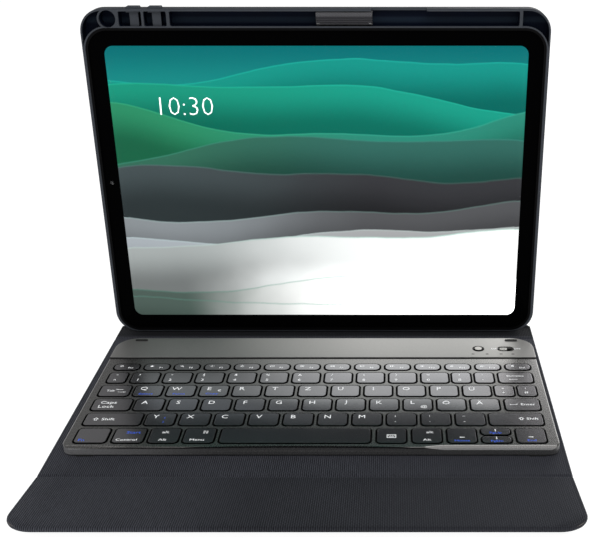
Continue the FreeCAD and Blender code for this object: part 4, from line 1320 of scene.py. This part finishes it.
# ---------------------------------------------------------------- floor, light, camera
def floor_material():
    g = Graph("pale_floor")
    o = g.coord("Object")
    n1 = g.noise(g.scaled(o, 3, 3, 3), 1.0, 3.0, 0.5)
    c = g.mix(n1, col(0.29, 0.29, 0.29), col(0.31, 0.31, 0.31))
    p = g.principled(Base_Color=c, Roughness=0.95)
    p.inputs["Specular IOR Level"].default_value = 0.05
    p.inputs["Emission Color"].default_value = col(1, 1, 1)
    p.inputs["Emission Strength"].default_value = 0.94
    return g.done(p)


fm = bpy.data.meshes.new("floor")
fm.from_pydata([(-30, -30, -0.0003), (30, -30, -0.0003), (30, 30, -0.0003), (-30, 30, -0.0003)], [], [(0, 1, 2, 3)])
fm.materials.append(floor_material())
floor = bpy.data.objects.new("floor", fm)
bpy.context.scene.collection.objects.link(floor)

world = bpy.data.worlds.new("studio")
bpy.context.scene.world = world
world.use_nodes = True
# pale all round at the level of the floor, softer overhead
wt = world.node_tree
back = wt.nodes["Background"]
back.inputs["Color"].default_value = col(1, 1, 1)
w_co = wt.nodes.new("ShaderNodeTexCoord")
w_sep = wt.nodes.new("ShaderNodeSeparateXYZ")
w_map = wt.nodes.new("ShaderNodeMapRange")
w_map.interpolation_type = "SMOOTHSTEP"
w_map.inputs["From Min"].default_value = 0.06
w_map.inputs["From Max"].default_value = 0.42
w_map.inputs["To Min"].default_value = 1.0
w_map.inputs["To Max"].default_value = 0.28
wt.links.new(w_co.outputs["Generated"], w_sep.inputs[0])
wt.links.new(w_sep.outputs[2], w_map.inputs["Value"])
wt.links.new(w_map.outputs[0], back.inputs["Strength"])


def area(name, loc, target, size, power):
    d = bpy.data.lights.new(name, "AREA")
    d.shape = "RECTANGLE"
    d.size, d.size_y = size
    d.energy = power
    o = bpy.data.objects.new(name, d)
    o.location = loc
    o.rotation_euler = (Vector(target) - Vector(loc)).to_track_quat("-Z", "Y").to_euler()
    bpy.context.scene.collection.objects.link(o)
    return o


area("key_light", (0.25, -0.75, 1.05), (0.0, 0.0, 0.03), (1.0, 0.7), 8.0)
area("side_light", (-0.9, -0.35, 0.9), (0.0, 0.0, 0.03), (0.8, 0.6), 3.4)
area("rear_light", (0.55, 1.05, 0.35), (0.10, 0.0, 0.01), (0.95, 0.42), 3.3)

cam_data = bpy.data.cameras.new("camera")
cam = bpy.data.objects.new("camera", cam_data)
bpy.context.scene.collection.objects.link(cam)
F, CX, CY = 989.43, 393.59, 303.94
cam_data.sensor_fit = "HORIZONTAL"
cam_data.sensor_width = 36.0
cam_data.lens = F / 598.0 * 36.0
cam_data.shift_x = (299.0 - CX) / 598.0
cam_data.shift_y = (CY - 269.0) / 598.0
cam_data.clip_start = 0.01
cam_data.clip_end = 50.0
cam.location = (0.04174, -0.44636, 0.26929)
cam.rotation_euler = (math.radians(90.0 - 24.578), 0.0, 0.0)
bpy.context.scene.camera = cam
bpy.context.scene.view_settings.view_transform = "Standard"

bpy.context.view_layer.update()
